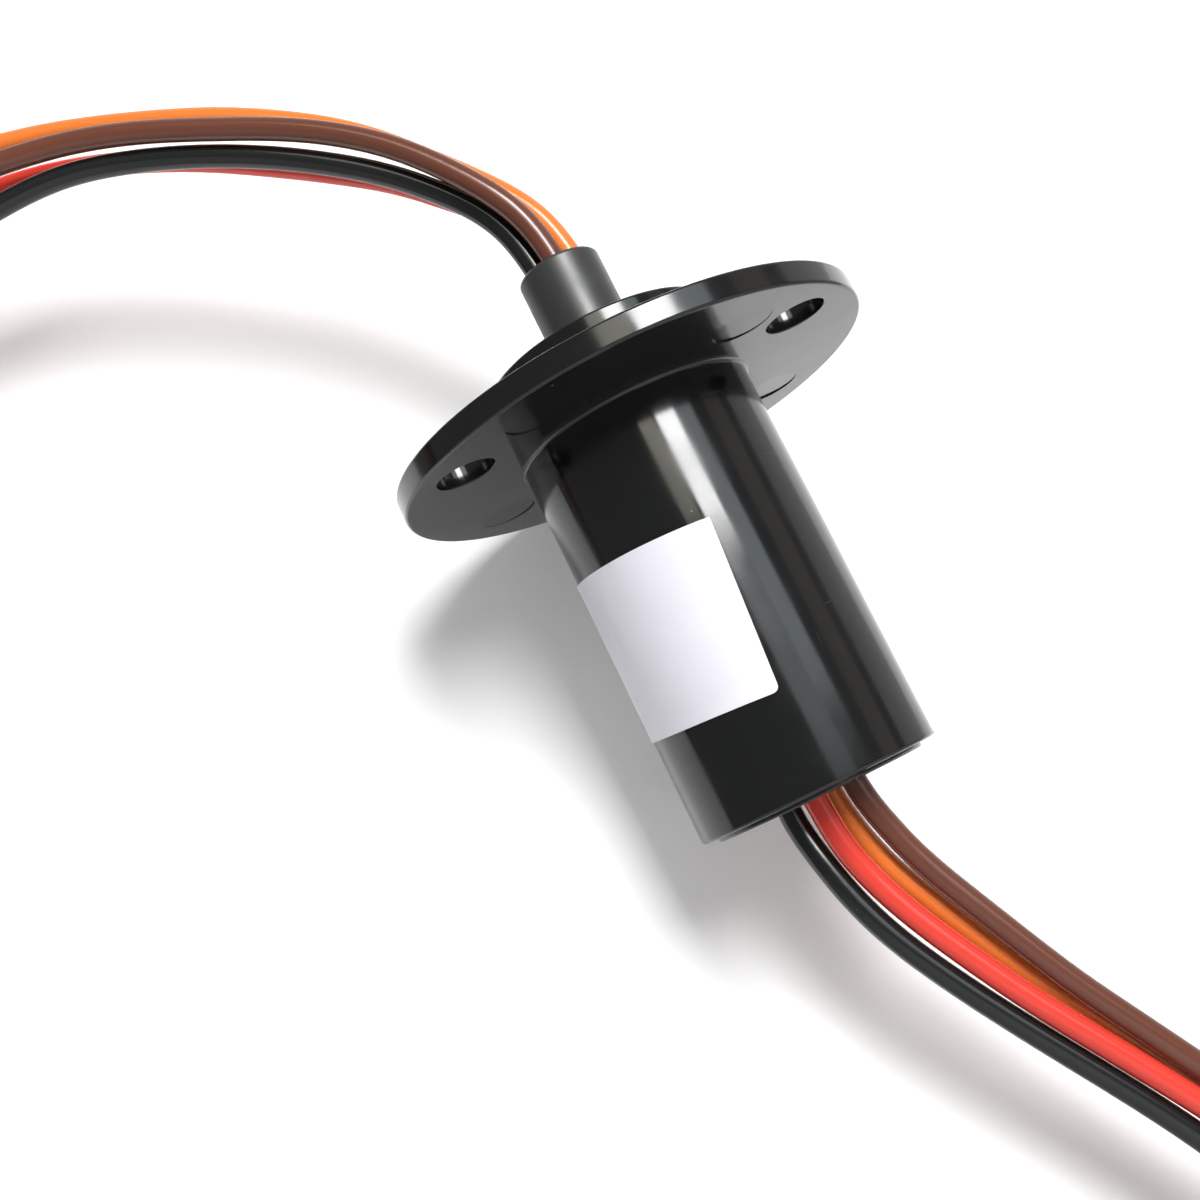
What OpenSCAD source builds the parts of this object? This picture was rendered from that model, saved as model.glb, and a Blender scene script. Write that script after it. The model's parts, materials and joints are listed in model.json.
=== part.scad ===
// Capsule slip ring: a flanged housing, a ball-borne rotor, four circuits and flying leads.
// Lengths are in millimetres. +Z is the spin axis, towards the rotor tube.
// z = 0 is the flange's mounting face, on the barrel's side.

/* [Housing] */
// Diameter of the barrel
barrel_d = 21.7; // [20.5:0.1:26]
// Length of the barrel, from the mounting face to its rear rim
barrel_l = 35.8; // [34:0.1:50]
// Wall of the barrel
barrel_wall = 1.4; // [1:0.1:1.7]
// Diameter of the boss on the rotor side
boss_d = 21.6; // [19:0.1:26]
// Height of the boss above the flange
boss_h = 5.2; // [4.6:0.1:8]
// Rounding of the housing's moulded edges
edge_r = 0.3; // [0.1:0.05:0.5]

/* [Flange] */
// Diameter of the flange
flange_d = 44.3; // [42:0.1:60]
// Thickness of the flange
flange_t = 2.2; // [1.5:0.1:4]
// Pitch circle of the bolt holes
bolt_pcd = 35; // [33:0.5:36.5]
// Diameter of a bolt hole
bolt_d = 5.3; // [3:0.1:6]
// Number of bolt holes
bolt_count = 3; // [3:1:6]
// Diameter of the round marks that the ejector pins leave
ejector_d = 5.4; // [3:0.1:6]
// Depth of those marks
ejector_depth = 0.1; // [0.05:0.05:0.3]

/* [Rotor] */
// Diameter of the rotor tube where it shows
tube_d = 7.8; // [7.4:0.1:7.9]
// Bore of the rotor tube, which holds the leads
tube_bore = 6; // [5.8:0.1:6.2]
// Length of the tube that stands above the boss
tube_out = 8.9; // [4:0.1:20]
// Diameter of the core that carries the rings
core_d = 7.2; // [7:0.1:8]

/* [Rings] */
// Number of circuits
circuits = 4; // [4:1:4]
// Diameter of a ring
ring_d = 9.4; // [9.2:0.1:9.8]
// Width of a ring
ring_w = 2; // [1.8:0.1:2.2]
// Diameter of the insulators between the rings
insulator_d = 10.6; // [10:0.1:11]
// Width of an insulator
insulator_w = 1.4; // [1.2:0.1:1.6]
// Radius of the brush groove's section
groove_r = 0.3; // [0.25:0.01:0.4]
// Distance between a ring's two grooves
groove_pitch = 0.9; // [0.8:0.05:1]

/* [Brushes] */
// Diameter of a brush wire
brush_d = 0.4; // [0.2:0.05:0.45]
// Gap between a brush wire and the bottom of its groove
brush_gap = 0.05; // [0.02:0.01:0.1]
// Distance that a brush wire reaches past the ring's middle
brush_past = 1.5; // [0.5:0.1:3]
// Thickness of a brush board
board_t = 1.4; // [0.8:0.1:1.5]
// Width of a brush board
board_w = 10.2; // [9.8:0.1:10.4]
// Distance of a board's inner face from the axis
board_in = 6.3; // [6.2:0.05:6.4]

/* [Bearings] */
// Bore of the front bearing
front_bore = 8; // [7.9:0.1:8.4]
// Outside diameter of the front bearing
front_od = 16; // [15.5:0.1:17]
// Width of the front bearing
front_w = 4; // [3.5:0.1:4.2]
// Diameter of the front bearing's balls
front_ball = 2; // [1.8:0.1:2.1]
// Number of balls in the front bearing
front_balls_n = 10; // [6:1:12]
// Bore of the rear bearing
rear_bore = 5; // [4.5:0.1:5.2]
// Outside diameter of the rear bearing
rear_od = 10; // [9.6:0.1:10.4]
// Width of the rear bearing
rear_w = 3; // [2.5:0.1:3.5]
// Diameter of the rear bearing's balls
rear_ball = 1.5; // [1.3:0.1:1.6]
// Number of balls in the rear bearing
rear_balls_n = 8; // [5:1:9]

/* [Closing parts] */
// Thickness of the end cap
cap_t = 2.6; // [2:0.1:3]
// Height that the end cap stands out of the barrel's rim
cap_out = 0.4; // [0:0.1:1]
// Diameter of the outlet for the stator leads
outlet_d = 9; // [8.8:0.1:12]
// Depth of the potting below the mouth it fills
potting_below = 0.4; // [0.2:0.1:1.5]
// Thickness of the circlip
clip_t = 0.6; // [0.4:0.1:0.8]

/* [Label] */
// Height of the label along the axis
label_h = 15; // [8:0.5:20]
// Length of the label around the barrel
label_l = 28; // [10:1:60]
// Thickness of the label
label_t = 0.1; // [0.05:0.05:0.2]
// Angle at which the label was stuck on askew
label_skew = 4.5; // [-8:0.5:8]

/* [Leads] */
// Diameter of a lead over its insulation
lead_d = 2.2; // [1.5:0.05:2.2]

/* [Hidden] */
$fn = 96;

// Clearances and small details shared by several pieces
lead_clearance = 0.05;
hole_clearance = 0.15;
groove_play = 0.03;
pocket_play = 0.05;
cut = 1;
tab_play = 0.03;
label_glue = 0.02;
root_r = 0.4;
cap_edge_r = 0.2;
race_edge = 0.2;
mouth_edge_r = 0.4;

barrel_r = barrel_d / 2;
boss_r = boss_d / 2;
flange_r = flange_d / 2;
bore_r = barrel_r - barrel_wall;
lead_r = lead_d / 2;
tube_r = tube_d / 2;
tube_bore_r = tube_bore / 2;
core_r = core_d / 2;
ring_r = ring_d / 2;
board_out = board_in + board_t;

// Heights along the axis, from the front face down to the rear rim
boss_top = flange_t + boss_h;
mouth_z = boss_top + tube_out;
front_lip = 1.2;
front_top = boss_top - front_lip;
front_mid = front_top - front_w / 2;
front_low = front_top - front_w;
bore_top = 0.5;
stack_top = -1.4;
stack_l = circuits * ring_w + (circuits + 1) * insulator_w;
collar_ring_w = 1.2;
rear_top = stack_top - stack_l - collar_ring_w;
rear_mid = rear_top - rear_w / 2;
rear_low = rear_top - rear_w;
holder_lip = 1.2;
holder_t = 1.6;
holder_low = rear_low - holder_lip;
holder_face = holder_low + holder_t;
cap_low = -barrel_l - cap_out;
cap_top = cap_low + cap_t;

// Radii of the two bearings' raceways
front_pitch = (front_bore + front_od) / 4;
rear_pitch = (rear_bore + rear_od) / 4;
front_gap = 0.8 * front_ball / 2;
rear_gap = 0.8 * rear_ball / 2;
lip_r = front_pitch + front_gap + 0.1;
hub_r = rear_od / 2 + 1;
collar_r = front_pitch - front_gap - 0.3;
journal_past = 0.6;
bore_floor = 1;

groove_bottom = ring_r - 0.45;
brush_y = groove_bottom + brush_gap + brush_d / 2;
clip_gap = 0.1;
clip_z = front_top + clip_gap;
clip_groove_r = tube_r - 0.4;
clip_r = clip_groove_r + 1.5;
clip_slot = 2.4;
lug_angle = 23;
lug_r = 0.9;
lug_hole_r = 0.4;
tab_r = 0.4;
solder_r = 0.45;
solder_h = 0.3;
mouth_depth = 1.2;
plug_l = 4;

bolt_angles = [for (i = [0 : bolt_count - 1]) 90 + i * 360 / bolt_count];
ejector_angles = [-119, -52, 33, 147];
ejector_pcr = 16.5;

// Where the label's corners start: the angle of its right edge and the height of its middle
label_angle = -87.5;
label_mid_z = -20;

// Centre lines of the leads. The first point is the joint inside, the last one the cut end.
rotor_black_route = [
    [-1.7, 0, -4.4], [-1.7, 0, 1], [-1.7, 0, 6.5], [-1.7, 0, 12], [-1.7, 0, 15.2],
    [-2, 0, 18.4], [-2.7, 0, 21.6], [-4.2, 0, 24.8], [-6.6, 0, 28], [-10, 0, 31.6],
    [-14.4, 0, 35.2], [-19.8, 0, 38.8], [-25.8, 0, 42], [-32, 0, 44.5], [-38.2, 0, 46],
    [-45, 0, 46], [-52, 0, 45], [-59.4, -0.2, 42.6], [-66.8, -0.3, 38.8], [-73.4, -0.5, 33.6],
    [-79, -0.6, 26.6], [-82.6, -0.8, 18], [-84.4, -1, 8], [-85, -1.2, -3], [-85, -1.4, -15],
    [-84.8, -1.6, -27], [-84.6, -1.8, -39], [-84.5, -2, -51], [-84.6, -2.1, -63], [-84.8, -2.2, -75]
];
rotor_red_route = [
    [0, 1.7, -7.8], [0, 1.7, -2], [0, 1.7, 4], [0, 1.7, 9], [0, 1.7, 12.2],
    [0, 1.7, 15.2], [-0.3, 1.8, 18.4], [-1.2, 2, 21.6], [-3, 2.2, 24.8], [-5.8, 2.3, 28],
    [-9.4, 2.3, 31.6], [-14, 2.3, 35.2], [-19.6, 2.3, 39], [-25.8, 2.3, 42.8], [-32, 2.3, 45.8],
    [-38.4, 2.3, 48], [-45.5, 2.3, 49.2], [-53, 2.3, 48.8], [-60.5, 2.3, 46.8], [-67.8, 2.3, 42.8],
    [-74.4, 2.3, 37.2], [-80, 2.3, 30], [-84, 2.4, 21.5], [-86.2, 2.5, 12], [-87, 2.7, 1],
    [-87, 3, -11], [-86.8, 3.4, -23], [-86.6, 3.8, -35], [-86.5, 4.2, -47], [-86.6, 4.5, -59],
    [-86.8, 4.8, -71]
];
rotor_orange_route = [
    [1.7, 0, -11.2], [1.7, 0, -5], [1.7, 0, 2], [1.7, 0, 8], [1.7, 0, 12],
    [1.7, 0, 15.2], [1.4, 0.1, 18.4], [0.6, 0.2, 21.6], [-1, 0.3, 24.8], [-3.4, 0.4, 28.2],
    [-6.6, 0.5, 32.2], [-11, 0.5, 37], [-16.4, 0.5, 41.2], [-22.4, 0.5, 44.8], [-29, 0.5, 47.8],
    [-36, 0.5, 50.4], [-43.5, 0.5, 52.3], [-51.5, 0.5, 53], [-60, 0.5, 51.8], [-68, 0.4, 48.4],
    [-75.4, 0.3, 43.2], [-81.6, 0.2, 36.4], [-86.2, 0, 28], [-89, 0, 18], [-90, 0, 7],
    [-90.2, 0.2, -5], [-90, 0.4, -17], [-89.8, 0.6, -29], [-89.6, 0.8, -41], [-89.7, 1, -52],
    [-90, 1.2, -60]
];
rotor_brown_route = [
    [0, -1.7, -14.6], [0, -1.7, -8], [0, -1.7, -1], [0, -1.7, 6], [0, -1.7, 12],
    [0, -1.7, 15.2], [-0.3, -1.8, 18.4], [-1.1, -2, 21.6], [-2.6, -2.1, 24.8], [-4.8, -2.1, 28.2],
    [-7.8, -2.1, 32], [-11.8, -2, 35.8], [-17, -1.9, 39.4], [-23, -1.8, 42.6], [-29.5, -1.8, 45.6],
    [-36.2, -1.8, 47.8], [-43.5, -1.8, 49], [-51, -1.8, 49.2], [-59, -1.8, 47.4], [-66.5, -1.9, 44],
    [-73.5, -2, 39], [-79.5, -2.1, 32.5], [-84, -2.2, 24.5], [-86.8, -2.4, 15], [-87.8, -2.6, 4],
    [-88, -2.9, -8], [-87.9, -3.2, -20], [-87.7, -3.5, -32], [-87.6, -3.8, -44], [-87.7, -4, -56],
    [-88, -4.2, -67]
];
stator_black_route = [
    [-7.3, 1.6, -20.2], [-7.3, 1.6, -22.2], [-7.2, 1.6, -23.9], [-6.8, 1.5, -25.5], [-6.1, 1.4, -27],
    [-5.1, 1.2, -28.3], [-4.1, 1.1, -29.6], [-3.4, 1, -31.1], [-3, 0.9, -32.7], [-2.9, 0.9, -34.4],
    [-2.9, 0.9, -36.1], [-2.8, 0.8, -38.2], [-2.4, 0.5, -40.8], [-1.7, 0.2, -44], [-0.2, 0, -48.4],
    [2.1, 0, -53], [5.2, 0, -58.2], [8.8, 0, -63.8], [12.5, 0, -69.5], [16, 0, -75.5],
    [19.2, 0.1, -82.5], [21.6, 0.2, -90.5], [23, 0.4, -100], [23.6, 0.8, -111], [23.6, 1.2, -123],
    [23.4, 1.8, -135], [23, 2.2, -147], [22.6, 2.6, -159], [22.4, 3, -171], [22.4, 3.2, -183],
    [22.4, 3.2, -195], [22.6, 3.2, -207], [23, 3.2, -219], [23.4, 3.2, -230]
];
stator_red_route = [
    [-7.3, -1.6, -20.2], [-7.3, -1.6, -22.2], [-7.1, -1.6, -23.8], [-6.4, -1.6, -25.3], [-5.3, -1.5, -26.5],
    [-4, -1.4, -27.5], [-2.6, -1.2, -28.5], [-1.5, -1.1, -29.8], [-0.8, -1, -31.3], [-0.6, -1, -32.9],
    [-0.6, -1, -34.6], [-0.6, -1, -36.3], [-0.5, -1, -38.4], [-0.2, -1, -41], [0.6, -0.9, -44],
    [2.4, -0.9, -48.4], [4.8, -0.9, -53], [7.8, -0.9, -58.2], [11.4, -0.9, -63.8], [15.1, -0.9, -69.5],
    [18.7, -1, -75.5], [22, -1.2, -82.5], [24.4, -1.4, -90.5], [25.8, -1.8, -100], [26.2, -2.4, -111],
    [26.2, -3, -123], [26, -3.6, -135], [25.7, -4, -147], [25.5, -4.4, -159], [25.4, -4.8, -171],
    [25.4, -5, -183], [25.6, -5.2, -195], [26, -5.4, -207], [26.4, -5.4, -219], [26.8, -5.4, -229]
];
stator_orange_route = [
    [7.3, 1.6, -20.2], [7.3, 1.6, -22.2], [7.1, 1.6, -23.8], [6.5, 1.6, -25.3], [5.5, 1.5, -26.5],
    [4.2, 1.4, -27.5], [2.9, 1.3, -28.5], [1.9, 1.2, -29.8], [1.2, 1.1, -31.3], [1, 1.1, -32.9],
    [1, 1.1, -34.6], [1, 1.1, -36.3], [1.2, 1.1, -38.4], [1.7, 1.2, -41], [2.6, 1.3, -44],
    [4.6, 1.3, -48.4], [7, 1.3, -53.2], [9.9, 1.3, -58.4], [13.2, 1.3, -63.8], [16.6, 1.3, -69.6],
    [20.2, 1.4, -75.6], [23.8, 1.5, -82.6], [26.6, 1.7, -90.6], [28.2, 2, -100], [28.6, 2.4, -111],
    [28.6, 3, -123], [28.2, 3.6, -135], [27.8, 4.2, -147], [27.5, 4.8, -159], [27.4, 5.2, -171],
    [27.4, 5.6, -183], [27.6, 5.8, -195], [28, 6, -207], [28.4, 6.2, -218], [28.8, 6.2, -228]
];
stator_brown_route = [
    [7.3, -1.6, -20.2], [7.3, -1.6, -22.2], [7.2, -1.6, -23.9], [6.8, -1.5, -25.5], [6.1, -1.4, -27],
    [5.2, -1.3, -28.3], [4.2, -1.1, -29.6], [3.5, -1, -31.1], [3.1, -0.9, -32.7], [3, -0.9, -34.4],
    [3, -0.9, -36.1], [3.2, -0.9, -38.2], [3.8, -0.8, -40.8], [4.8, -0.7, -44], [6.7, -0.7, -48.4],
    [9, -0.7, -53.2], [11.7, -0.7, -58.6], [14.8, -0.7, -64], [18.2, -0.7, -69.8], [22, -0.7, -76],
    [25.8, -0.7, -83], [28.8, -0.8, -91], [30.4, -1, -100.4], [31, -1.2, -111.4], [31, -1.4, -123],
    [30.8, -1.6, -135], [30.5, -1.6, -147], [30.2, -1.4, -159], [30, -1.2, -171], [30.1, -1, -183],
    [30.4, -0.8, -195], [30.8, -0.6, -207], [31.4, -0.6, -218], [32, -0.6, -227]
];

rotor_routes = [rotor_black_route, rotor_red_route, rotor_orange_route, rotor_brown_route];
stator_routes = [stator_black_route, stator_red_route, stator_orange_route, stator_brown_route];
lead_colours = ["#232527", "#e8483c", "#ee7d35", "#6f4335"];
// The point of a stator route that lies inside the end cap
outlet_point = 9;
lead_sides = 8;
lead_pitch = 3;

// ---- Shared shapes ----

// Rounds the outer corner of a turned section; up is 1 for a top corner and -1 for a bottom one.
module corner_cut(r, z, e, up) {
    translate([r - e, z - up * e])
        difference() {
            translate([0, up > 0 ? 0 : -e - cut])
                square(e + cut);
            circle(e);
        }
}

// Fills the inner corner between a barrel of radius r and a flange face at height z.
module root_fillet(r, z, e, up) {
    translate([r, z + (up > 0 ? 0 : -e)])
        difference() {
            square(e);
            translate([e, up > 0 ? e : 0])
                circle(e);
        }
}

// A plain ring about the axis.
module turned_ring(r_in, r_out, z, h) {
    translate([0, 0, z])
        difference() {
            cylinder(r = r_out, h = h);
            translate([0, 0, -cut])
                cylinder(r = r_in, h = h + 2 * cut);
        }
}

// One race of a ball bearing, with the groove that the balls run in.
// The corners at the radius seat, where the race is pressed in or on, are chamfered.
module race(r_in, r_out, seat, w, mid, pitch, ball) {
    rotate_extrude()
        difference() {
            translate([r_in, mid - w / 2])
                square([r_out - r_in, w]);
            translate([pitch, mid])
                circle(ball / 2 + groove_play);
            for (s = [-1, 1])
                translate([seat, mid + s * w / 2])
                    rotate(45)
                        square(race_edge * sqrt(2), center = true);
        }
}

module ball_set(ball, n, pitch, mid) {
    for (i = [0 : n - 1])
        rotate(i * 360 / n)
            translate([pitch, 0, mid])
                sphere(d = ball);
}

// A crown cage: a thin ring with a pocket for each ball, open on one side.
module crown_cage(ball, n, pitch, gap, mid, back) {
    half = gap - 0.2;
    low = back > 0 ? mid - 0.2 * ball : mid - 0.75 * ball;
    difference() {
        turned_ring(pitch - half, pitch + half, low, 0.95 * ball);
        for (i = [0 : n - 1])
            rotate(i * 360 / n)
                translate([pitch, 0, mid])
                    sphere(d = ball + 2 * pocket_play);
    }
}

// ---- Leads ----

function unit(v) = v / norm(v);

// A point on the smooth curve through b and c, with a and d as their neighbours.
function blend(a, b, c, d, t) =
    0.5 * (2 * b + (c - a) * t + (2 * a - 5 * b + 4 * c - d) * t * t + (3 * b - a - 3 * c + d) * t * t * t);

function before(p, i) = i > 0 ? p[i - 1] : 2 * p[0] - p[1];
function after(p, i) = i + 2 < len(p) ? p[i + 2] : 2 * p[i + 1] - p[i];

// A ring of corners follows at most every lead_pitch diameters along the route.
function steps_in(p, i) = ceil(norm(p[i + 1] - p[i]) / (lead_pitch * lead_d));

function smooth(p) = [
    for (i = [0 : len(p) - 2], k = [0 : steps_in(p, i) - 1])
        blend(before(p, i), p[i], p[i + 1], after(p, i), k / steps_in(p, i)),
    p[len(p) - 1]
];

function heading(p, i) = unit(p[min(i + 1, len(p) - 1)] - p[max(i - 1, 0)]);
function sideways(t) = unit(cross([0, 1, 0], t));

// The corners of the lead's section at point i of its centre line.
function lead_section(p, i) =
    let (t = heading(p, i), s = sideways(t), u = cross(t, s))
    [
        for (k = [0 : lead_sides - 1])
            let (a = k * 360 / lead_sides)
            p[i] + lead_r * (cos(a) * s + sin(a) * u)
    ];

module lead(route) {
    p = smooth(route);
    n = len(p);
    m = lead_sides;
    points = [for (i = [0 : n - 1]) each lead_section(p, i)];
    walls = [
        for (i = [0 : n - 2], k = [0 : m - 1])
            let (a = i * m + k, b = i * m + (k + 1) % m)
            each [[a, a + m, b + m], [a, b + m, b]]
    ];
    start = [for (k = [0 : m - 1]) k];
    finish = [for (k = [m - 1 : -1 : 0]) (n - 1) * m + k];
    polyhedron(points, concat(walls, [start, finish]));
}

// ---- Stator ----

module housing_section() {
    difference() {
        union() {
            translate([0, -barrel_l])
                square([barrel_r, barrel_l + flange_t]);
            square([flange_r, flange_t]);
            square([boss_r, boss_top]);
            root_fillet(barrel_r, 0, root_r, -1);
            root_fillet(boss_r, flange_t, root_r, 1);
        }
        corner_cut(barrel_r, -barrel_l, edge_r, -1);
        corner_cut(flange_r, 0, edge_r, -1);
        corner_cut(flange_r, flange_t, edge_r, 1);
        corner_cut(boss_r, boss_top, edge_r, 1);
        translate([0, -barrel_l - cut])
            square([bore_r, barrel_l + cut + bore_top]);
        square([front_od / 2, front_top]);
        square([lip_r, boss_top + cut]);
    }
}

module housing() {
    color("#17181a")
        difference() {
            rotate_extrude()
                housing_section();
            for (a = bolt_angles)
                rotate(a)
                    translate([bolt_pcd / 2, 0, -cut])
                        cylinder(d = bolt_d, h = flange_t + 2 * cut);
            for (a = ejector_angles)
                rotate(a)
                    translate([ejector_pcr, 0, -cut])
                        cylinder(d = ejector_d, h = ejector_depth + cut);
        }
}

// The plug glued into the rear of the barrel, with the outlet for the stator leads.
module end_cap() {
    color("#1d1e20")
        rotate_extrude()
            difference() {
                translate([outlet_d / 2, cap_low])
                    square([bore_r - outlet_d / 2, cap_t]);
                corner_cut(bore_r, cap_low, cap_edge_r, -1);
            }
}

module outlet_potting() {
    z = cap_low + potting_below;
    color("#26272a")
        difference() {
            translate([0, 0, z])
                cylinder(d = outlet_d, h = cap_top - z);
            for (route = stator_routes)
                translate([route[outlet_point][0], route[outlet_point][1], z - cut])
                    cylinder(r = lead_r + lead_clearance, h = cap_top - z + 2 * cut);
        }
}

// Where point (u, v) of the flat label lies on the barrel, at distance out from its wall.
function on_barrel(u, v, out) =
    let (
        around = u * cos(label_skew) - v * sin(label_skew),
        a = label_angle - around / barrel_r * 180 / PI,
        r = barrel_r + out
    )
    [r * cos(a), r * sin(a), label_mid_z + u * sin(label_skew) + v * cos(label_skew)];

module label() {
    nu = 30;
    nv = 4;
    row = nv + 1;
    layer = (nu + 1) * row;
    points = [
        for (out = [label_glue, label_glue + label_t], i = [0 : nu], j = [0 : nv])
            on_barrel(i * label_l / nu, (j / nv - 0.5) * label_h, out)
    ];
    faces = [
        for (i = [0 : nu - 1], j = [0 : nv - 1])
            let (a = i * row + j, b = a + row)
            each [[a, a + 1, b], [b, a + 1, b + 1],
                  [layer + a, layer + b, layer + a + 1], [layer + b, layer + b + 1, layer + a + 1]]
    ];
    long_edges = [
        for (i = [0 : nu - 1])
            let (a = i * row, b = a + row, c = a + nv, d = b + nv)
            each [[a, b, layer + b], [a, layer + b, layer + a],
                  [c, layer + c, layer + d], [c, layer + d, d]]
    ];
    short_edges = [
        for (j = [0 : nv - 1])
            let (a = j, b = nu * row + j)
            each [[a, layer + a, layer + a + 1], [a, layer + a + 1, a + 1],
                  [b, b + 1, layer + b + 1], [b, layer + b + 1, layer + b]]
    ];
    color("#dfe2ec")
        polyhedron(points, concat(faces, long_edges, short_edges));
}

// A spider that holds the rear bearing and the boards' ends, with a hole for each stator lead.
module rear_bearing_holder() {
    color("#303236")
        difference() {
            union() {
                translate([0, 0, holder_low])
                    cylinder(r = bore_r, h = holder_t);
                translate([0, 0, holder_low])
                    cylinder(r = hub_r, h = rear_top - holder_low);
            }
            translate([0, 0, rear_low])
                cylinder(d = rear_od, h = rear_w + cut);
            translate([0, 0, holder_low - cut])
                cylinder(r = rear_pitch + rear_gap, h = holder_lip + 2 * cut);
            for (route = stator_routes)
                translate([route[0][0], route[0][1], holder_low - cut])
                    cylinder(r = lead_r + hole_clearance, h = holder_t + 2 * cut);
        }
}

// side is -1 for the left board and 1 for the right one.
module brush_board(side) {
    color("#2f6b3f")
        translate([side > 0 ? board_in : -board_out, -board_w / 2, holder_face])
            cube([board_t, board_w, bore_top - holder_face]);
}

// The four wires that run in the two grooves of one ring, each with its solder joint on a board.
module brush(i) {
    color("#d8b45a")
        for (side = [-1, 1], s = [-1, 1])
            translate([0, s * brush_y, ring_z(i) + side * groove_pitch / 2])
                rotate([0, side * 90, 0]) {
                    translate([0, 0, -brush_past])
                        cylinder(d = brush_d, h = board_in + brush_past);
                    translate([0, 0, board_in - solder_h])
                        cylinder(r1 = brush_d / 2, r2 = solder_r, h = solder_h);
                }
}

module front_outer_race() {
    color("#c9ccd0")
        race(
            front_pitch + front_gap, front_od / 2, front_od / 2,
            front_w, front_mid, front_pitch, front_ball
        );
}

module rear_outer_race() {
    color("#c9ccd0")
        race(rear_pitch + rear_gap, rear_od / 2, rear_od / 2, rear_w, rear_mid, rear_pitch, rear_ball);
}

// ---- Rotor ----

module rotor_section() {
    difference() {
        union() {
            translate([0, rear_low - journal_past])
                square([rear_bore / 2, rear_w + journal_past]);
            translate([0, rear_top])
                square([core_r, stack_top - rear_top]);
            translate([0, stack_top])
                square([collar_r, front_low - stack_top]);
            translate([0, front_low])
                square([front_bore / 2, clip_z - front_low]);
            translate([0, clip_z])
                square([clip_groove_r, clip_t]);
            translate([0, clip_z + clip_t])
                square([tube_r, mouth_z - clip_z - clip_t]);
        }
        corner_cut(tube_r, mouth_z, mouth_edge_r, 1);
        translate([0, rear_top + bore_floor])
            square([tube_bore_r, mouth_z + cut - rear_top - bore_floor]);
    }
}

function lead_angle(i) = atan2(rotor_routes[i - 1][0][1], rotor_routes[i - 1][0][0]);
function lead_reach(i) = norm([rotor_routes[i - 1][0][0], rotor_routes[i - 1][0][1]]) + lead_r;

module rotor_tube() {
    color("#3a3c3f")
        difference() {
            rotate_extrude()
                rotor_section();
            for (i = [1 : circuits])
                translate([0, 0, ring_z(i)])
                    rotate([0, 90, lead_angle(i)])
                        cylinder(r = tab_r, h = core_r + cut);
        }
}

function ring_z(i) = stack_top - i * insulator_w - (i - 0.5) * ring_w;
function insulator_low(i) = stack_top - i * insulator_w - (i - 1) * ring_w;

module ring(i) {
    color("#dcb652")
        rotate_extrude()
            difference() {
                translate([core_r, ring_z(i) - ring_w / 2])
                    square([ring_r - core_r, ring_w]);
                for (s = [-1, 1])
                    translate([groove_bottom + groove_r, ring_z(i) + s * groove_pitch / 2])
                        circle(groove_r);
            }
}

module insulator(i) {
    color("#e4dfd0")
        turned_ring(core_r, insulator_d / 2, insulator_low(i), insulator_w);
}

// The glued ring that closes the stack of rings and insulators.
module stack_collar() {
    color("#3a3c3f")
        turned_ring(core_r, rear_pitch + rear_gap - 0.15, rear_top, collar_ring_w);
}

// The pins that join each lead to its ring through the wall of the tube.
module ring_tabs() {
    color("#c98c4a")
        for (i = [1 : circuits])
            translate([0, 0, ring_z(i)])
                rotate([0, 90, lead_angle(i)])
                    translate([0, 0, lead_reach(i) + tab_play])
                        cylinder(r = tab_r, h = core_r - lead_reach(i) - 2 * tab_play);
}

module front_inner_race() {
    color("#c9ccd0")
        race(
            front_bore / 2, front_pitch - front_gap, front_bore / 2,
            front_w, front_mid, front_pitch, front_ball
        );
}

module rear_inner_race() {
    color("#c9ccd0")
        race(rear_bore / 2, rear_pitch - rear_gap, rear_bore / 2, rear_w, rear_mid, rear_pitch, rear_ball);
}

// An open ring with two drilled lugs, sprung into the tube's groove above the front bearing.
module circlip() {
    color("#8d9196")
        translate([0, 0, clip_z])
            difference() {
                union() {
                    cylinder(r = clip_r, h = clip_t);
                    for (s = [-1, 1])
                        rotate(s * lug_angle)
                            translate([clip_r - 0.2, 0, 0])
                                cylinder(r = lug_r, h = clip_t);
                }
                translate([0, 0, -cut])
                    cylinder(r = clip_groove_r, h = clip_t + 2 * cut);
                translate([0, -clip_slot / 2, -cut])
                    cube([clip_r + 2 * lug_r, clip_slot, clip_t + 2 * cut]);
                for (s = [-1, 1])
                    rotate(s * lug_angle)
                        translate([clip_r - 0.2, 0, -cut])
                            cylinder(r = lug_hole_r, h = clip_t + 2 * cut);
            }
}

module tube_potting() {
    color("#26272a")
        difference() {
            translate([0, 0, mouth_z - mouth_depth - plug_l])
                cylinder(r = tube_bore_r, h = plug_l);
            for (route = rotor_routes)
                translate([route[0][0], route[0][1], mouth_z - mouth_depth - plug_l - cut])
                    cylinder(r = lead_r + lead_clearance, h = plug_l + 2 * cut);
        }
}

module rotor_lead(i) {
    color(lead_colours[i])
        lead(rotor_routes[i]);
}

module stator_lead(i) {
    color(lead_colours[i])
        lead(stator_routes[i]);
}

// ---- Cages and balls ----

module front_cage() {
    color("#b9bcc0")
        crown_cage(front_ball, front_balls_n, front_pitch, front_gap, front_mid, 1);
}

module front_balls() {
    color("#e2e4e6")
        ball_set(front_ball, front_balls_n, front_pitch, front_mid);
}

module rear_cage() {
    color("#b9bcc0")
        crown_cage(rear_ball, rear_balls_n, rear_pitch, rear_gap, rear_mid, -1);
}

module rear_balls() {
    color("#e2e4e6")
        ball_set(rear_ball, rear_balls_n, rear_pitch, rear_mid);
}

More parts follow.
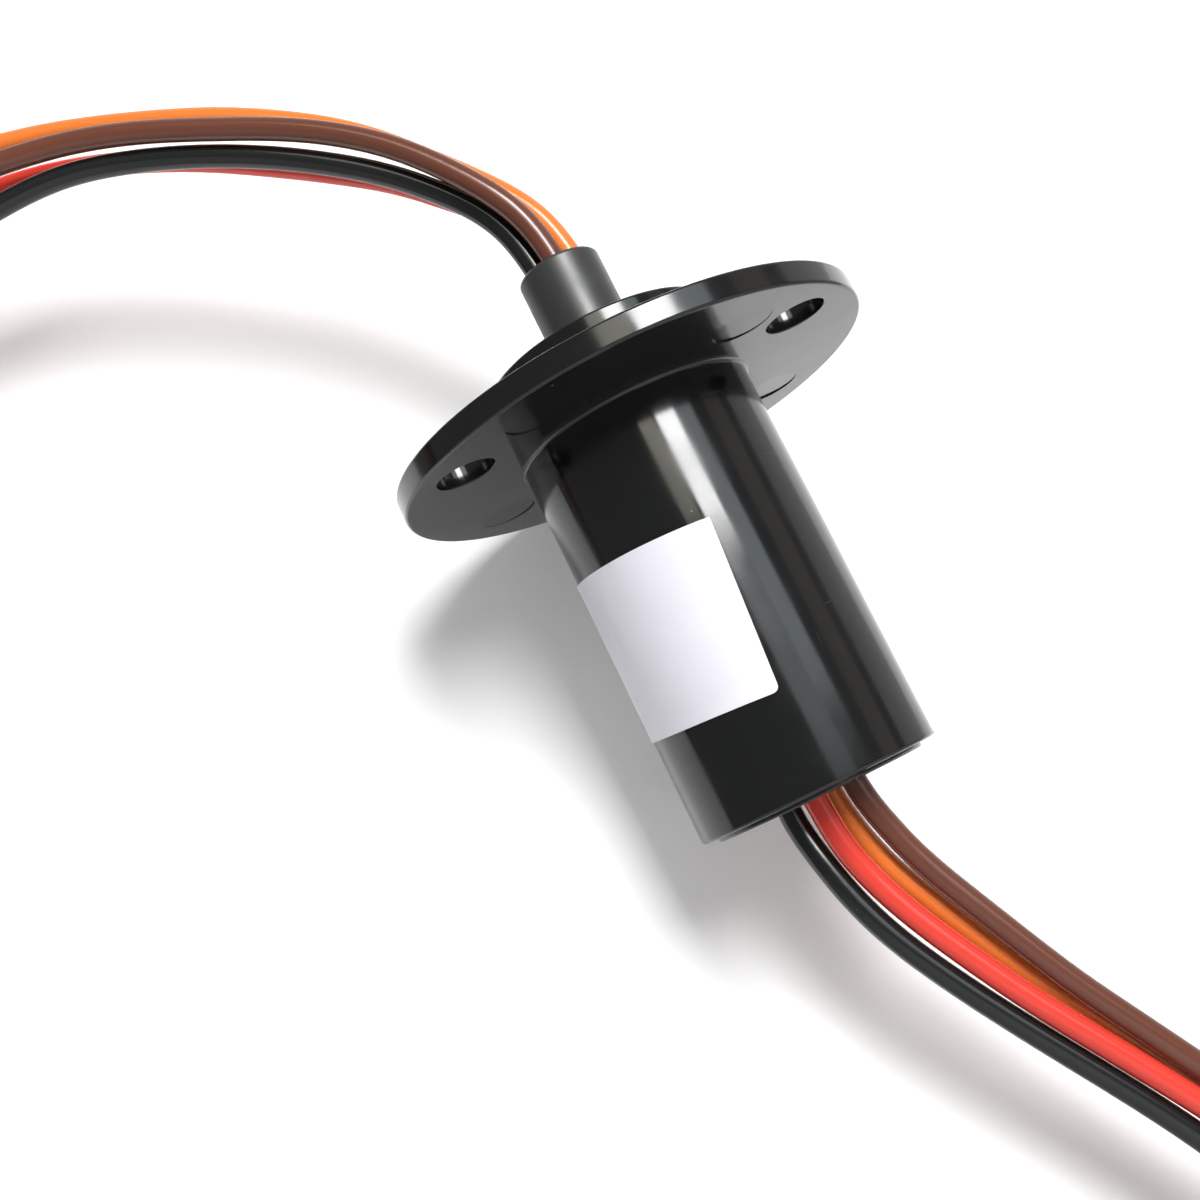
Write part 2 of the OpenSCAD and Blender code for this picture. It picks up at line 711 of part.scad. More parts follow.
housing();
end_cap();
label();
rear_bearing_holder();
front_outer_race();
rear_outer_race();
brush_board(-1);  // brush_board_left
brush_board(1);  // brush_board_right
brush(1);  // brush_1
brush(2);  // brush_2
brush(3);  // brush_3
brush(4);  // brush_4
outlet_potting();
stator_lead(0);  // stator_lead_black
stator_lead(1);  // stator_lead_red
stator_lead(2);  // stator_lead_orange
stator_lead(3);  // stator_lead_brown
rotor_tube();
ring(1);  // ring_1
ring(2);  // ring_2
ring(3);  // ring_3
ring(4);  // ring_4
insulator(1);  // insulator_1
insulator(2);  // insulator_2
insulator(3);  // insulator_3
insulator(4);  // insulator_4
insulator(5);  // insulator_5
stack_collar();
ring_tabs();
front_inner_race();
rear_inner_race();
circlip();
tube_potting();
rotor_lead(0);  // rotor_lead_black
rotor_lead(1);  // rotor_lead_red
rotor_lead(2);  // rotor_lead_orange
rotor_lead(3);  // rotor_lead_brown
front_cage();
front_balls();
rear_cage();
rear_balls();
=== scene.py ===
"""Looks of a capsule slip ring: glossy moulded housing, paper label, rotor tube and eight flying leads.

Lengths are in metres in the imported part's own frame. +Z is the spin axis, towards the rotor tube, and
z = 0 is the flange's mounting face, on the barrel's side.
"""
import json
import math
import random

import bmesh
import bpy
import numpy as np
from bpy.props import FloatProperty, FloatVectorProperty, IntProperty, PointerProperty
from mathutils import Euler, Matrix, Vector


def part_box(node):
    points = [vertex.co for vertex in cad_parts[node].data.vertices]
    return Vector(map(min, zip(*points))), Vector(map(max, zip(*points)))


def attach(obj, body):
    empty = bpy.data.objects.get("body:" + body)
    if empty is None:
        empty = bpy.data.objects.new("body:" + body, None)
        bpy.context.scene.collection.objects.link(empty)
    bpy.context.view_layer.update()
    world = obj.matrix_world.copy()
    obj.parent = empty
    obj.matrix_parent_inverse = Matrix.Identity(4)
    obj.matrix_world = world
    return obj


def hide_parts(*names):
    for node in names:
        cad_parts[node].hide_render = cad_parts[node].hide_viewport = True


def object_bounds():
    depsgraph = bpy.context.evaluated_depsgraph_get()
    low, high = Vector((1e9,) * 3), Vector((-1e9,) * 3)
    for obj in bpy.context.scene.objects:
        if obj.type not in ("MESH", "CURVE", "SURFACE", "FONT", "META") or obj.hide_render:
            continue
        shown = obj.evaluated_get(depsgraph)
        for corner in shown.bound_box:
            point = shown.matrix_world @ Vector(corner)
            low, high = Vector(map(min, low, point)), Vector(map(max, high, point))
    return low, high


bl_info = {
    "name": "Slip ring",
    "version": (1, 0, 0),
    "blender": (4, 5, 0),
    "location": "View3D > Sidebar > Slip ring",
    "description": "Finishes and lights a flanged capsule slip ring",
    "category": "Mesh",
}

MM = 0.001
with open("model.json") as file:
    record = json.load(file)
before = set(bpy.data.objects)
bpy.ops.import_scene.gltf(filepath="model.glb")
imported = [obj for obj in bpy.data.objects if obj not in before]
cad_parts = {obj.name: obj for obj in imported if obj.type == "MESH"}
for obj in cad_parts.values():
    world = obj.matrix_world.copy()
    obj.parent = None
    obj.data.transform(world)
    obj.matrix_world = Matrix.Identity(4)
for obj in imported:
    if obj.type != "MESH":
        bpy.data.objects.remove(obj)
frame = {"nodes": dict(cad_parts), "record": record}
CAD_BOX = [list(corner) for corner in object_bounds()]
MOUNTS = {mount["name"]: mount for mount in frame["record"]["mounts"]}

# Centre lines of the leads in millimetres, from the joint inside to the cut end
LEAD_ROUTES = {
    "rotor_lead_black": (
        (-1.7, 0, -4.4), (-1.7, 0, 1), (-1.7, 0, 6.5), (-1.7, 0, 12), (-1.7, 0, 15.2), (-2, 0, 18.4),
        (-2.7, 0, 21.6), (-4.2, 0, 24.8), (-6.6, 0, 28), (-10, 0, 31.6), (-14.4, 0, 35.2), (-19.8, 0, 38.8),
        (-25.8, 0, 42), (-32, 0, 44.5), (-38.2, 0, 46), (-45, 0, 46), (-52, 0, 45), (-59.4, -0.2, 42.6),
        (-66.8, -0.3, 38.8), (-73.4, -0.5, 33.6), (-79, -0.6, 26.6), (-82.6, -0.8, 18), (-84.4, -1, 8),
        (-85, -1.2, -3), (-85, -1.4, -15), (-84.8, -1.6, -27), (-84.6, -1.8, -39), (-84.5, -2, -51),
        (-84.6, -2.1, -63), (-84.8, -2.2, -75),
    ),
    "rotor_lead_red": (
        (0, 1.7, -7.8), (0, 1.7, -2), (0, 1.7, 4), (0, 1.7, 9), (0, 1.7, 12.2), (0, 1.7, 15.2),
        (-0.3, 1.8, 18.4), (-1.2, 2, 21.6), (-3, 2.2, 24.8), (-5.8, 2.3, 28), (-9.4, 2.3, 31.6),
        (-14, 2.3, 35.2), (-19.6, 2.3, 39), (-25.8, 2.3, 42.8), (-32, 2.3, 45.8), (-38.4, 2.3, 48),
        (-45.5, 2.3, 49.2), (-53, 2.3, 48.8), (-60.5, 2.3, 46.8), (-67.8, 2.3, 42.8), (-74.4, 2.3, 37.2),
        (-80, 2.3, 30), (-84, 2.4, 21.5), (-86.2, 2.5, 12), (-87, 2.7, 1), (-87, 3, -11), (-86.8, 3.4, -23),
        (-86.6, 3.8, -35), (-86.5, 4.2, -47), (-86.6, 4.5, -59), (-86.8, 4.8, -71),
    ),
    "rotor_lead_orange": (
        (1.7, 0, -11.2), (1.7, 0, -5), (1.7, 0, 2), (1.7, 0, 8), (1.7, 0, 12), (1.7, 0, 15.2),
        (1.4, 0.1, 18.4), (0.6, 0.2, 21.6), (-1, 0.3, 24.8), (-3.4, 0.4, 28.2), (-6.6, 0.5, 32.2),
        (-11, 0.5, 37), (-16.4, 0.5, 41.2), (-22.4, 0.5, 44.8), (-29, 0.5, 47.8), (-36, 0.5, 50.4),
        (-43.5, 0.5, 52.3), (-51.5, 0.5, 53), (-60, 0.5, 51.8), (-68, 0.4, 48.4), (-75.4, 0.3, 43.2),
        (-81.6, 0.2, 36.4), (-86.2, 0, 28), (-89, 0, 18), (-90, 0, 7), (-90.2, 0.2, -5), (-90, 0.4, -17),
        (-89.8, 0.6, -29), (-89.6, 0.8, -41), (-89.7, 1, -52), (-90, 1.2, -60),
    ),
    "rotor_lead_brown": (
        (0, -1.7, -14.6), (0, -1.7, -8), (0, -1.7, -1), (0, -1.7, 6), (0, -1.7, 12), (0, -1.7, 15.2),
        (-0.3, -1.8, 18.4), (-1.1, -2, 21.6), (-2.6, -2.1, 24.8), (-4.8, -2.1, 28.2), (-7.8, -2.1, 32),
        (-11.8, -2, 35.8), (-17, -1.9, 39.4), (-23, -1.8, 42.6), (-29.5, -1.8, 45.6), (-36.2, -1.8, 47.8),
        (-43.5, -1.8, 49), (-51, -1.8, 49.2), (-59, -1.8, 47.4), (-66.5, -1.9, 44), (-73.5, -2, 39),
        (-79.5, -2.1, 32.5), (-84, -2.2, 24.5), (-86.8, -2.4, 15), (-87.8, -2.6, 4), (-88, -2.9, -8),
        (-87.9, -3.2, -20), (-87.7, -3.5, -32), (-87.6, -3.8, -44), (-87.7, -4, -56), (-88, -4.2, -67),
    ),
    "stator_lead_black": (
        (-7.3, 1.6, -20.2), (-7.3, 1.6, -22.2), (-7.2, 1.6, -23.9), (-6.8, 1.5, -25.5), (-6.1, 1.4, -27),
        (-5.1, 1.2, -28.3), (-4.1, 1.1, -29.6), (-3.4, 1, -31.1), (-3, 0.9, -32.7), (-2.9, 0.9, -34.4),
        (-2.9, 0.9, -36.1), (-2.8, 0.8, -38.2), (-2.4, 0.5, -40.8), (-1.7, 0.2, -44), (-0.2, 0, -48.4),
        (2.1, 0, -53), (5.2, 0, -58.2), (8.8, 0, -63.8), (12.5, 0, -69.5), (16, 0, -75.5),
        (19.2, 0.1, -82.5), (21.6, 0.2, -90.5), (23, 0.4, -100), (23.6, 0.8, -111), (23.6, 1.2, -123),
        (23.4, 1.8, -135), (23, 2.2, -147), (22.6, 2.6, -159), (22.4, 3, -171), (22.4, 3.2, -183),
        (22.4, 3.2, -195), (22.6, 3.2, -207), (23, 3.2, -219), (23.4, 3.2, -230),
    ),
    "stator_lead_red": (
        (-7.3, -1.6, -20.2), (-7.3, -1.6, -22.2), (-7.1, -1.6, -23.8), (-6.4, -1.6, -25.3),
        (-5.3, -1.5, -26.5), (-4, -1.4, -27.5), (-2.6, -1.2, -28.5), (-1.5, -1.1, -29.8), (-0.8, -1, -31.3),
        (-0.6, -1, -32.9), (-0.6, -1, -34.6), (-0.6, -1, -36.3), (-0.5, -1, -38.4), (-0.2, -1, -41),
        (0.6, -0.9, -44), (2.4, -0.9, -48.4), (4.8, -0.9, -53), (7.8, -0.9, -58.2), (11.4, -0.9, -63.8),
        (15.1, -0.9, -69.5), (18.7, -1, -75.5), (22, -1.2, -82.5), (24.4, -1.4, -90.5), (25.8, -1.8, -100),
        (26.2, -2.4, -111), (26.2, -3, -123), (26, -3.6, -135), (25.7, -4, -147), (25.5, -4.4, -159),
        (25.4, -4.8, -171), (25.4, -5, -183), (25.6, -5.2, -195), (26, -5.4, -207), (26.4, -5.4, -219),
        (26.8, -5.4, -229),
    ),
    "stator_lead_orange": (
        (7.3, 1.6, -20.2), (7.3, 1.6, -22.2), (7.1, 1.6, -23.8), (6.5, 1.6, -25.3), (5.5, 1.5, -26.5),
        (4.2, 1.4, -27.5), (2.9, 1.3, -28.5), (1.9, 1.2, -29.8), (1.2, 1.1, -31.3), (1, 1.1, -32.9),
        (1, 1.1, -34.6), (1, 1.1, -36.3), (1.2, 1.1, -38.4), (1.7, 1.2, -41), (2.6, 1.3, -44),
        (4.6, 1.3, -48.4), (7, 1.3, -53.2), (9.9, 1.3, -58.4), (13.2, 1.3, -63.8), (16.6, 1.3, -69.6),
        (20.2, 1.4, -75.6), (23.8, 1.5, -82.6), (26.6, 1.7, -90.6), (28.2, 2, -100), (28.6, 2.4, -111),
        (28.6, 3, -123), (28.2, 3.6, -135), (27.8, 4.2, -147), (27.5, 4.8, -159), (27.4, 5.2, -171),
        (27.4, 5.6, -183), (27.6, 5.8, -195), (28, 6, -207), (28.4, 6.2, -218), (28.8, 6.2, -228),
    ),
    "stator_lead_brown": (
        (7.3, -1.6, -20.2), (7.3, -1.6, -22.2), (7.2, -1.6, -23.9), (6.8, -1.5, -25.5), (6.1, -1.4, -27),
        (5.2, -1.3, -28.3), (4.2, -1.1, -29.6), (3.5, -1, -31.1), (3.1, -0.9, -32.7), (3, -0.9, -34.4),
        (3, -0.9, -36.1), (3.2, -0.9, -38.2), (3.8, -0.8, -40.8), (4.8, -0.7, -44), (6.7, -0.7, -48.4),
        (9, -0.7, -53.2), (11.7, -0.7, -58.6), (14.8, -0.7, -64), (18.2, -0.7, -69.8), (22, -0.7, -76),
        (25.8, -0.7, -83), (28.8, -0.8, -91), (30.4, -1, -100.4), (31, -1.2, -111.4), (31, -1.4, -123),
        (30.8, -1.6, -135), (30.5, -1.6, -147), (30.2, -1.4, -159), (30, -1.2, -171), (30.1, -1, -183),
        (30.4, -0.8, -195), (30.8, -0.6, -207), (31.4, -0.6, -218), (32, -0.6, -227),
    ),
}


# ---- Sizes and colours that a user would change ----


def length(name, description, millimetres):
    """A length with its default in millimetres."""
    return FloatProperty(
        name=name, description=description, default=millimetres * MM, unit="LENGTH", precision=5
    )


def share(name, description, default):
    """A number from 0 to 1."""
    return FloatProperty(
        name=name, description=description, default=default, min=0, max=1, subtype="FACTOR"
    )


def angle(name, description, degrees):
    """An angle with its default in degrees."""
    return FloatProperty(
        name=name, description=description, default=math.radians(degrees), unit="ROTATION"
    )


def amount(name, description, default):
    """A number of 0 or more."""
    return FloatProperty(name=name, description=description, default=default, min=0)


def tint(name, description, default):
    """A colour in linear red, green and blue."""
    return FloatVectorProperty(
        name=name, description=description, default=default, size=3, min=0, max=1, subtype="COLOR"
    )


class LeadSizes(bpy.types.PropertyGroup):
    diameter: length("Diameter", "Diameter of a lead over its insulation", 2.2)
    bare: length("Bare end", "Length of the tinned end", 6)
    core: length("Core", "Diameter of the tinned strands", 1.2)
    ring_gap: length("Ring gap", "Distance between the rings of points along a lead", 0.6)
    sides: IntProperty(name="Sides", description="Faces round a lead", default=24, min=8, max=48)
    black: tint("Black", "Insulation of the first circuit", (0.011, 0.012, 0.012))
    red: tint("Red", "Insulation of the second circuit", (0.74, 0.052, 0.034))
    orange: tint("Orange", "Insulation of the third circuit", (0.80, 0.20, 0.035))
    brown: tint("Brown", "Insulation of the fourth circuit", (0.135, 0.045, 0.027))


class HousingSizes(bpy.types.PropertyGroup):
    steps: IntProperty(name="Steps", description="Faces round the housing", default=192, min=48, max=384)
    edge: length("Edge", "Rounding of the moulded edges", 0.3)
    root: length("Root", "Fillet between the flange and the barrel or the boss", 0.4)
    lip_edge: length("Lip edge", "Rounding of the opening's rim", 0.12)
    hole_edge: length("Hole edge", "Rounding of a bolt hole's rim", 0.16)
    ejector: length("Ejector mark", "Diameter of the marks that the ejector pins leave", 5.4)
    ejector_at: length("Ejector circle", "Distance of those marks from the axis", 16.5)
    plastic: tint("Plastic", "Colour of the moulded plastic", (0.0062, 0.0066, 0.0066))
    gloss: share("Roughness", "Roughness of the moulded skin", 0.12)


class LabelSizes(bpy.types.PropertyGroup):
    height: length("Height", "Height of the label along the axis", 15)
    around: length("Length", "Length of the label round the barrel", 28)
    paper: length("Thickness", "Thickness of the paper", 0.1)
    glue: length("Glue", "Gap that the glue fills", 0.02)
    corner: length("Corner", "Rounding of the torn lower corner", 0.55)
    middle: length("Middle", "Height of the label's middle edge point", -20)
    start: angle("Start", "Angle at which the label starts", -87.5)
    skew: angle("Skew", "Angle at which the label was stuck on", 4.5)
    white: tint("White", "Colour of the paper", (0.80, 0.79, 0.86))


class StageSizes(bpy.types.PropertyGroup):
    camera_at: FloatVectorProperty(
        name="Camera", description="Place of the camera", default=(-0.010384, -0.121825, -0.033677),
        subtype="TRANSLATION",
    )
    camera_turn: FloatVectorProperty(
        name="Camera turn", description="Rotation of the camera",
        default=[math.radians(a) for a in (100.7259, 25.4207, 4.3055)], subtype="EULER",
    )
    lens: FloatProperty(
        name="Lens", description="Focal length in millimetres", default=42.319, min=10, max=200
    )
    sheet_gap: length("Sheet gap", "Distance of the white sheet behind the flange's middle", 24)
    key: amount("Key lamp", "Power of the main lamp in watts", 4.6)
    room: amount("Room", "Light that comes from all sides", 0.3)
    lift: amount("Lift", "How much whiter the sheet looks to the lens", 0.14)


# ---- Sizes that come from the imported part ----


def reach(node):
    """Radius from the axis and height of each vertex of a CAD node."""
    places = np.array([vertex.co for vertex in frame["nodes"][node].data.vertices], float)
    return np.hypot(places[:, 0], places[:, 1]), places[:, 2]


def radii_between(node, low, high):
    """Radii of a CAD node's vertices between two heights."""
    radius, height = reach(node)
    return radius[(height > low) & (height < high)]


def widest(node, low=-1.0, high=1.0):
    """Largest radius of a CAD node between two heights."""
    return float(radii_between(node, low, high).max())


def narrowest(node, low=-1.0, high=1.0):
    """Smallest radius of a CAD node between two heights."""
    return float(radii_between(node, low, high).min())


def barrel_radius():
    """Radius of the barrel below the flange."""
    return widest("housing", high=-0.5 * MM)


def flange_top():
    """Height of the flange's face on the tube's side."""
    radius, height = reach("housing")
    return float(height[radius > 0.95 * radius.max()].max())


# ---- Modelling ----


def start_clean():
    """Leaves edit mode and deselects everything."""
    if bpy.context.mode != "OBJECT":
        bpy.ops.object.mode_set(mode="OBJECT")
    bpy.ops.object.select_all(action="DESELECT")


def take(piece):
    """Makes a piece the only selected and active one."""
    start_clean()
    piece.select_set(True)
    bpy.context.view_layer.objects.active = piece


def select_points(piece, test):
    """In edit mode, selects only the points whose place passes the test."""
    mesh = bmesh.from_edit_mesh(piece.data)
    bpy.ops.mesh.select_mode(type="VERT")
    bpy.ops.mesh.select_all(action="DESELECT")
    for vertex in mesh.verts:
        vertex.select_set(bool(test(vertex.co)))
    mesh.select_flush_mode()
    bmesh.update_edit_mesh(piece.data)


def close_up(piece, gap=1e-6):
    """Merges doubles, drops what is loose and turns all faces outwards."""
    take(piece)
    bpy.ops.object.mode_set(mode="EDIT")
    bpy.ops.mesh.select_all(action="SELECT")
    bpy.ops.mesh.remove_doubles(threshold=gap)
    bpy.ops.mesh.delete_loose()
    bpy.ops.mesh.select_all(action="SELECT")
    bpy.ops.mesh.normals_make_consistent(inside=False)
    bpy.ops.object.mode_set(mode="OBJECT")


def turned(name, outline, rounds, steps, segments=5):
    """Spins a closed outline of (radius, height) corners about the axis.

    rounds maps the place of a corner in the outline to the radius that it is rounded to.
    """
    start_clean()
    bpy.ops.mesh.primitive_circle_add(vertices=len(outline), radius=0.01, fill_type="NGON")
    piece = bpy.context.object
    piece.name = piece.data.name = name
    corners = [Vector((radius, 0, height)) for radius, height in outline]
    for vertex, corner in zip(piece.data.vertices, corners):
        vertex.co = corner
    bpy.ops.object.mode_set(mode="EDIT")
    for place, radius in rounds.items():
        select_points(piece, lambda at: (at - corners[place]).length < 1e-6)
        bpy.ops.mesh.bevel(offset=radius, segments=segments, affect="VERTICES")
    bpy.ops.mesh.select_all(action="SELECT")
    bpy.ops.mesh.delete(type="ONLY_FACE")
    bpy.ops.mesh.select_all(action="SELECT")
    bpy.ops.mesh.spin(steps=steps, angle=math.tau, center=(0, 0, 0), axis=(0, 0, 1))
    bpy.ops.object.mode_set(mode="OBJECT")
    close_up(piece)
    return piece


def moved(piece, matrix):
    """Moves a piece's mesh and leaves its object at the origin."""
    piece.data.transform(matrix)
    piece.data.update()
    return piece


def on_circle(turn, radius, height=0.0):
    """The place at an angle in degrees round the axis, facing outwards."""
    return Matrix.Rotation(math.radians(turn), 4, "Z") @ Matrix.Translation((radius, 0, height))


def modified(piece, kind, **settings):
    """Applies one modifier to the active piece."""
    step = piece.modifiers.new(kind.title(), kind)
    for name, value in settings.items():
        setattr(step, name, value)
    bpy.ops.object.modifier_apply(modifier=step.name)


def cut_away(piece, cutters):
    """Takes each cutter away from the piece."""
    for cutter in cutters:
        take(piece)
        modified(piece, "BOOLEAN", operation="DIFFERENCE", solver="EXACT", object=cutter)
        bpy.data.objects.remove(cutter)


def shade(piece, degrees=38):
    """Smooth shading that keeps flat faces flat and hard edges hard."""
    take(piece)
    bpy.ops.object.shade_smooth_by_angle(angle=math.radians(degrees))
    modified(piece, "WEIGHTED_NORMAL", keep_sharp=True)


def finish_piece(piece, material, body, slot, *nodes):
    """Gives a piece its material and its body, and hides the CAD nodes that it stands for; slot is not used.
    """
    piece.data.materials.clear()
    piece.data.materials.append(material)
    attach(piece, body)
    if nodes:
        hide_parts(*nodes)


# ---- Leads ----


def centre_line(route, spacing):
    """Closely spaced points on the natural cubic spline through a route's points, in metres."""
    points = np.array(route, float) * MM
    gap = np.linalg.norm(np.diff(points, axis=0), axis=1)
    count = len(points)
    system = np.zeros((count, count))
    right = np.zeros((count, 3))
    system[0, 0] = system[-1, -1] = 1
    for i in range(1, count - 1):
        system[i, i - 1 : i + 2] = gap[i - 1], 2 * (gap[i - 1] + gap[i]), gap[i]
        right[i] = 6 * ((points[i + 1] - points[i]) / gap[i] - (points[i] - points[i - 1]) / gap[i - 1])
    bend = np.linalg.solve(system, right)
    line = []
    for i, step in enumerate(gap):
        parts = max(1, round(step / spacing))
        for t in np.arange(parts) / parts:
            s = 1 - t
            curve = (s**3 - s) * bend[i] + (t**3 - t) * bend[i + 1]
            line.append(Vector(s * points[i] + t * points[i + 1] + curve * step * step / 6))
    line.append(Vector(points[-1]))
    return line


def frames_along(line):
    """Two sideways directions at each point of a line, carried along without twist."""
    frames = []
    side = None
    for i in range(len(line)):
        ahead = (line[min(i + 1, len(line) - 1)] - line[max(i - 1, 0)]).normalized()
        if side is None:
            side = ahead.cross(Vector((0, 1, 0)))
        side = (side - ahead * side.dot(ahead)).normalized()
        frames.append((side, ahead.cross(side)))
    return frames


def distance_along(line):
    """Distance from the start of a line to each of its points."""
    far = [0.0]
    for here, there in zip(line, line[1:]):
        far.append(far[-1] + (there - here).length)
    return far


def swept(name, line, frames, radius, sides):
    """A closed tube along a line. radius(i, angle) is its radius, and its UV map is in metres."""
    work = bmesh.new()
    uv = work.loops.layers.uv.new("UVMap")
    far = distance_along(line)
    rings = []
    for i, (point, (side, up)) in enumerate(zip(line, frames)):
        angles = [math.tau * k / sides for k in range(sides)]
        rings.append([
            work.verts.new(point + (side * math.cos(a) + up * math.sin(a)) * radius(i, a)) for a in angles
        ])
    for i, (low, high) in enumerate(zip(rings, rings[1:])):
        for k in range(sides):
            after = (k + 1) % sides
            face = work.faces.new((low[k], low[after], high[after], high[k]))
            for loop, (u, v) in zip(face.loops, ((k, i), (k + 1, i), (k + 1, i + 1), (k, i + 1))):
                loop[uv].uv = (u / sides * 0.007, far[v])
    work.faces.new(reversed(rings[0]))
    work.faces.new(rings[-1])
    bmesh.ops.recalc_face_normals(work, faces=work.faces)
    mesh = bpy.data.meshes.new(name)
    work.to_mesh(mesh)
    work.free()
    piece = bpy.data.objects.new(name, mesh)
    bpy.context.scene.collection.objects.link(piece)
    return piece


class MakeLeads(bpy.types.Operator):
    """Makes the eight leads with their tinned ends"""

    bl_idname = "slip_ring.make_leads"
    bl_label = "Leads"

    def insulation(self, name, line, frames, sizes):
        """The coloured tube, whose cut end is drawn in a little where the stripper closed on it."""
        far = distance_along(line)
        end = far[-1]
        wall = sizes.diameter / 2

        def radius(i, angle):
            from_end = end - far[i]
            pinch = 0.05 * math.exp(-from_end / (0.35 * MM))
            swell = 0.006 * math.sin(far[i] / (9 * MM)) * math.sin(far[i] / (23 * MM) + 1)
            return wall * (1 - pinch + swell - 0.006)

        return swept(name, line, frames, radius, sizes.sides)

    def strands(self, name, line, frames, sizes):
        """Seven tinned strands twisted together, as one lobed bar with a rounded end."""
        far = distance_along(line)
        lay = 7 * MM

        def radius(i, angle):
            turn = angle * 6 + math.tau * 6 * far[i] / lay
            blob = min(1, ((far[-1] - far[i]) / (0.5 * MM) + 0.12) ** 0.5)
            return sizes.core / 2 * (0.93 + 0.07 * math.cos(turn)) * blob

        return swept(name, line, frames, radius, 48)

    def execute(self, context):
        sizes = context.scene.slip_ring_leads
        tinned = tinned_material("Tinned copper")
        for colour in ("black", "red", "orange", "brown"):
            material = lead_material(f"{colour.title()} insulation", getattr(sizes, colour))
            for side in ("rotor", "stator"):
                name = f"{side}_lead_{colour}"
                line = centre_line(LEAD_ROUTES[name], sizes.ring_gap)
                frames = frames_along(line)
                far = distance_along(line)
                cut_at = next(i for i, d in enumerate(far) if d >= far[-1] - sizes.bare)
                lead = self.insulation(name + "_wire", line[: cut_at + 1], frames[: cut_at + 1], sizes)
                fine = centre_line([p / MM for p in line[cut_at - 1 :]], 0.12 * MM)
                tip = self.strands(name + "_tip", fine, frames_along(fine), sizes)
                finish_piece(lead, material, side, "lead_" + colour, name)
                tip.data.materials.append(tinned)
                take(lead)
                tip.select_set(True)
                bpy.ops.object.join()
                bpy.ops.object.shade_smooth_by_angle(angle=math.radians(50))
        return {"FINISHED"}

    def exit_point(self, line, side):
        """Where the lead passes the face of the potting that seals it in."""
        if side == "rotor":
            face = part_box("tube_potting")[1].z
            return next(p for p in line if p.z >= face)
        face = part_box("outlet_potting")[0].z
        return next(p for p in line if p.z <= face)


# ---- Housing ----

BOLT_START = 90
# Angle of each ejector mark, and the side on which its pin stood proudest, in degrees
EJECTOR_MARKS = ((-119, 250), (-52, 140), (33, 10), (147, 80))
# Angle and size of each nick in the flange's lower edge, in degrees and millimetres
NICKS = ((-72.5, 0.2), (-70.4, 0.14), (-97, 0.12), (-121, 0.16), (-38, 0.13), (64, 0.15))
# Angles between which the moulding flash was left on the rear rim, in degrees
FLASH = (-16, 14)


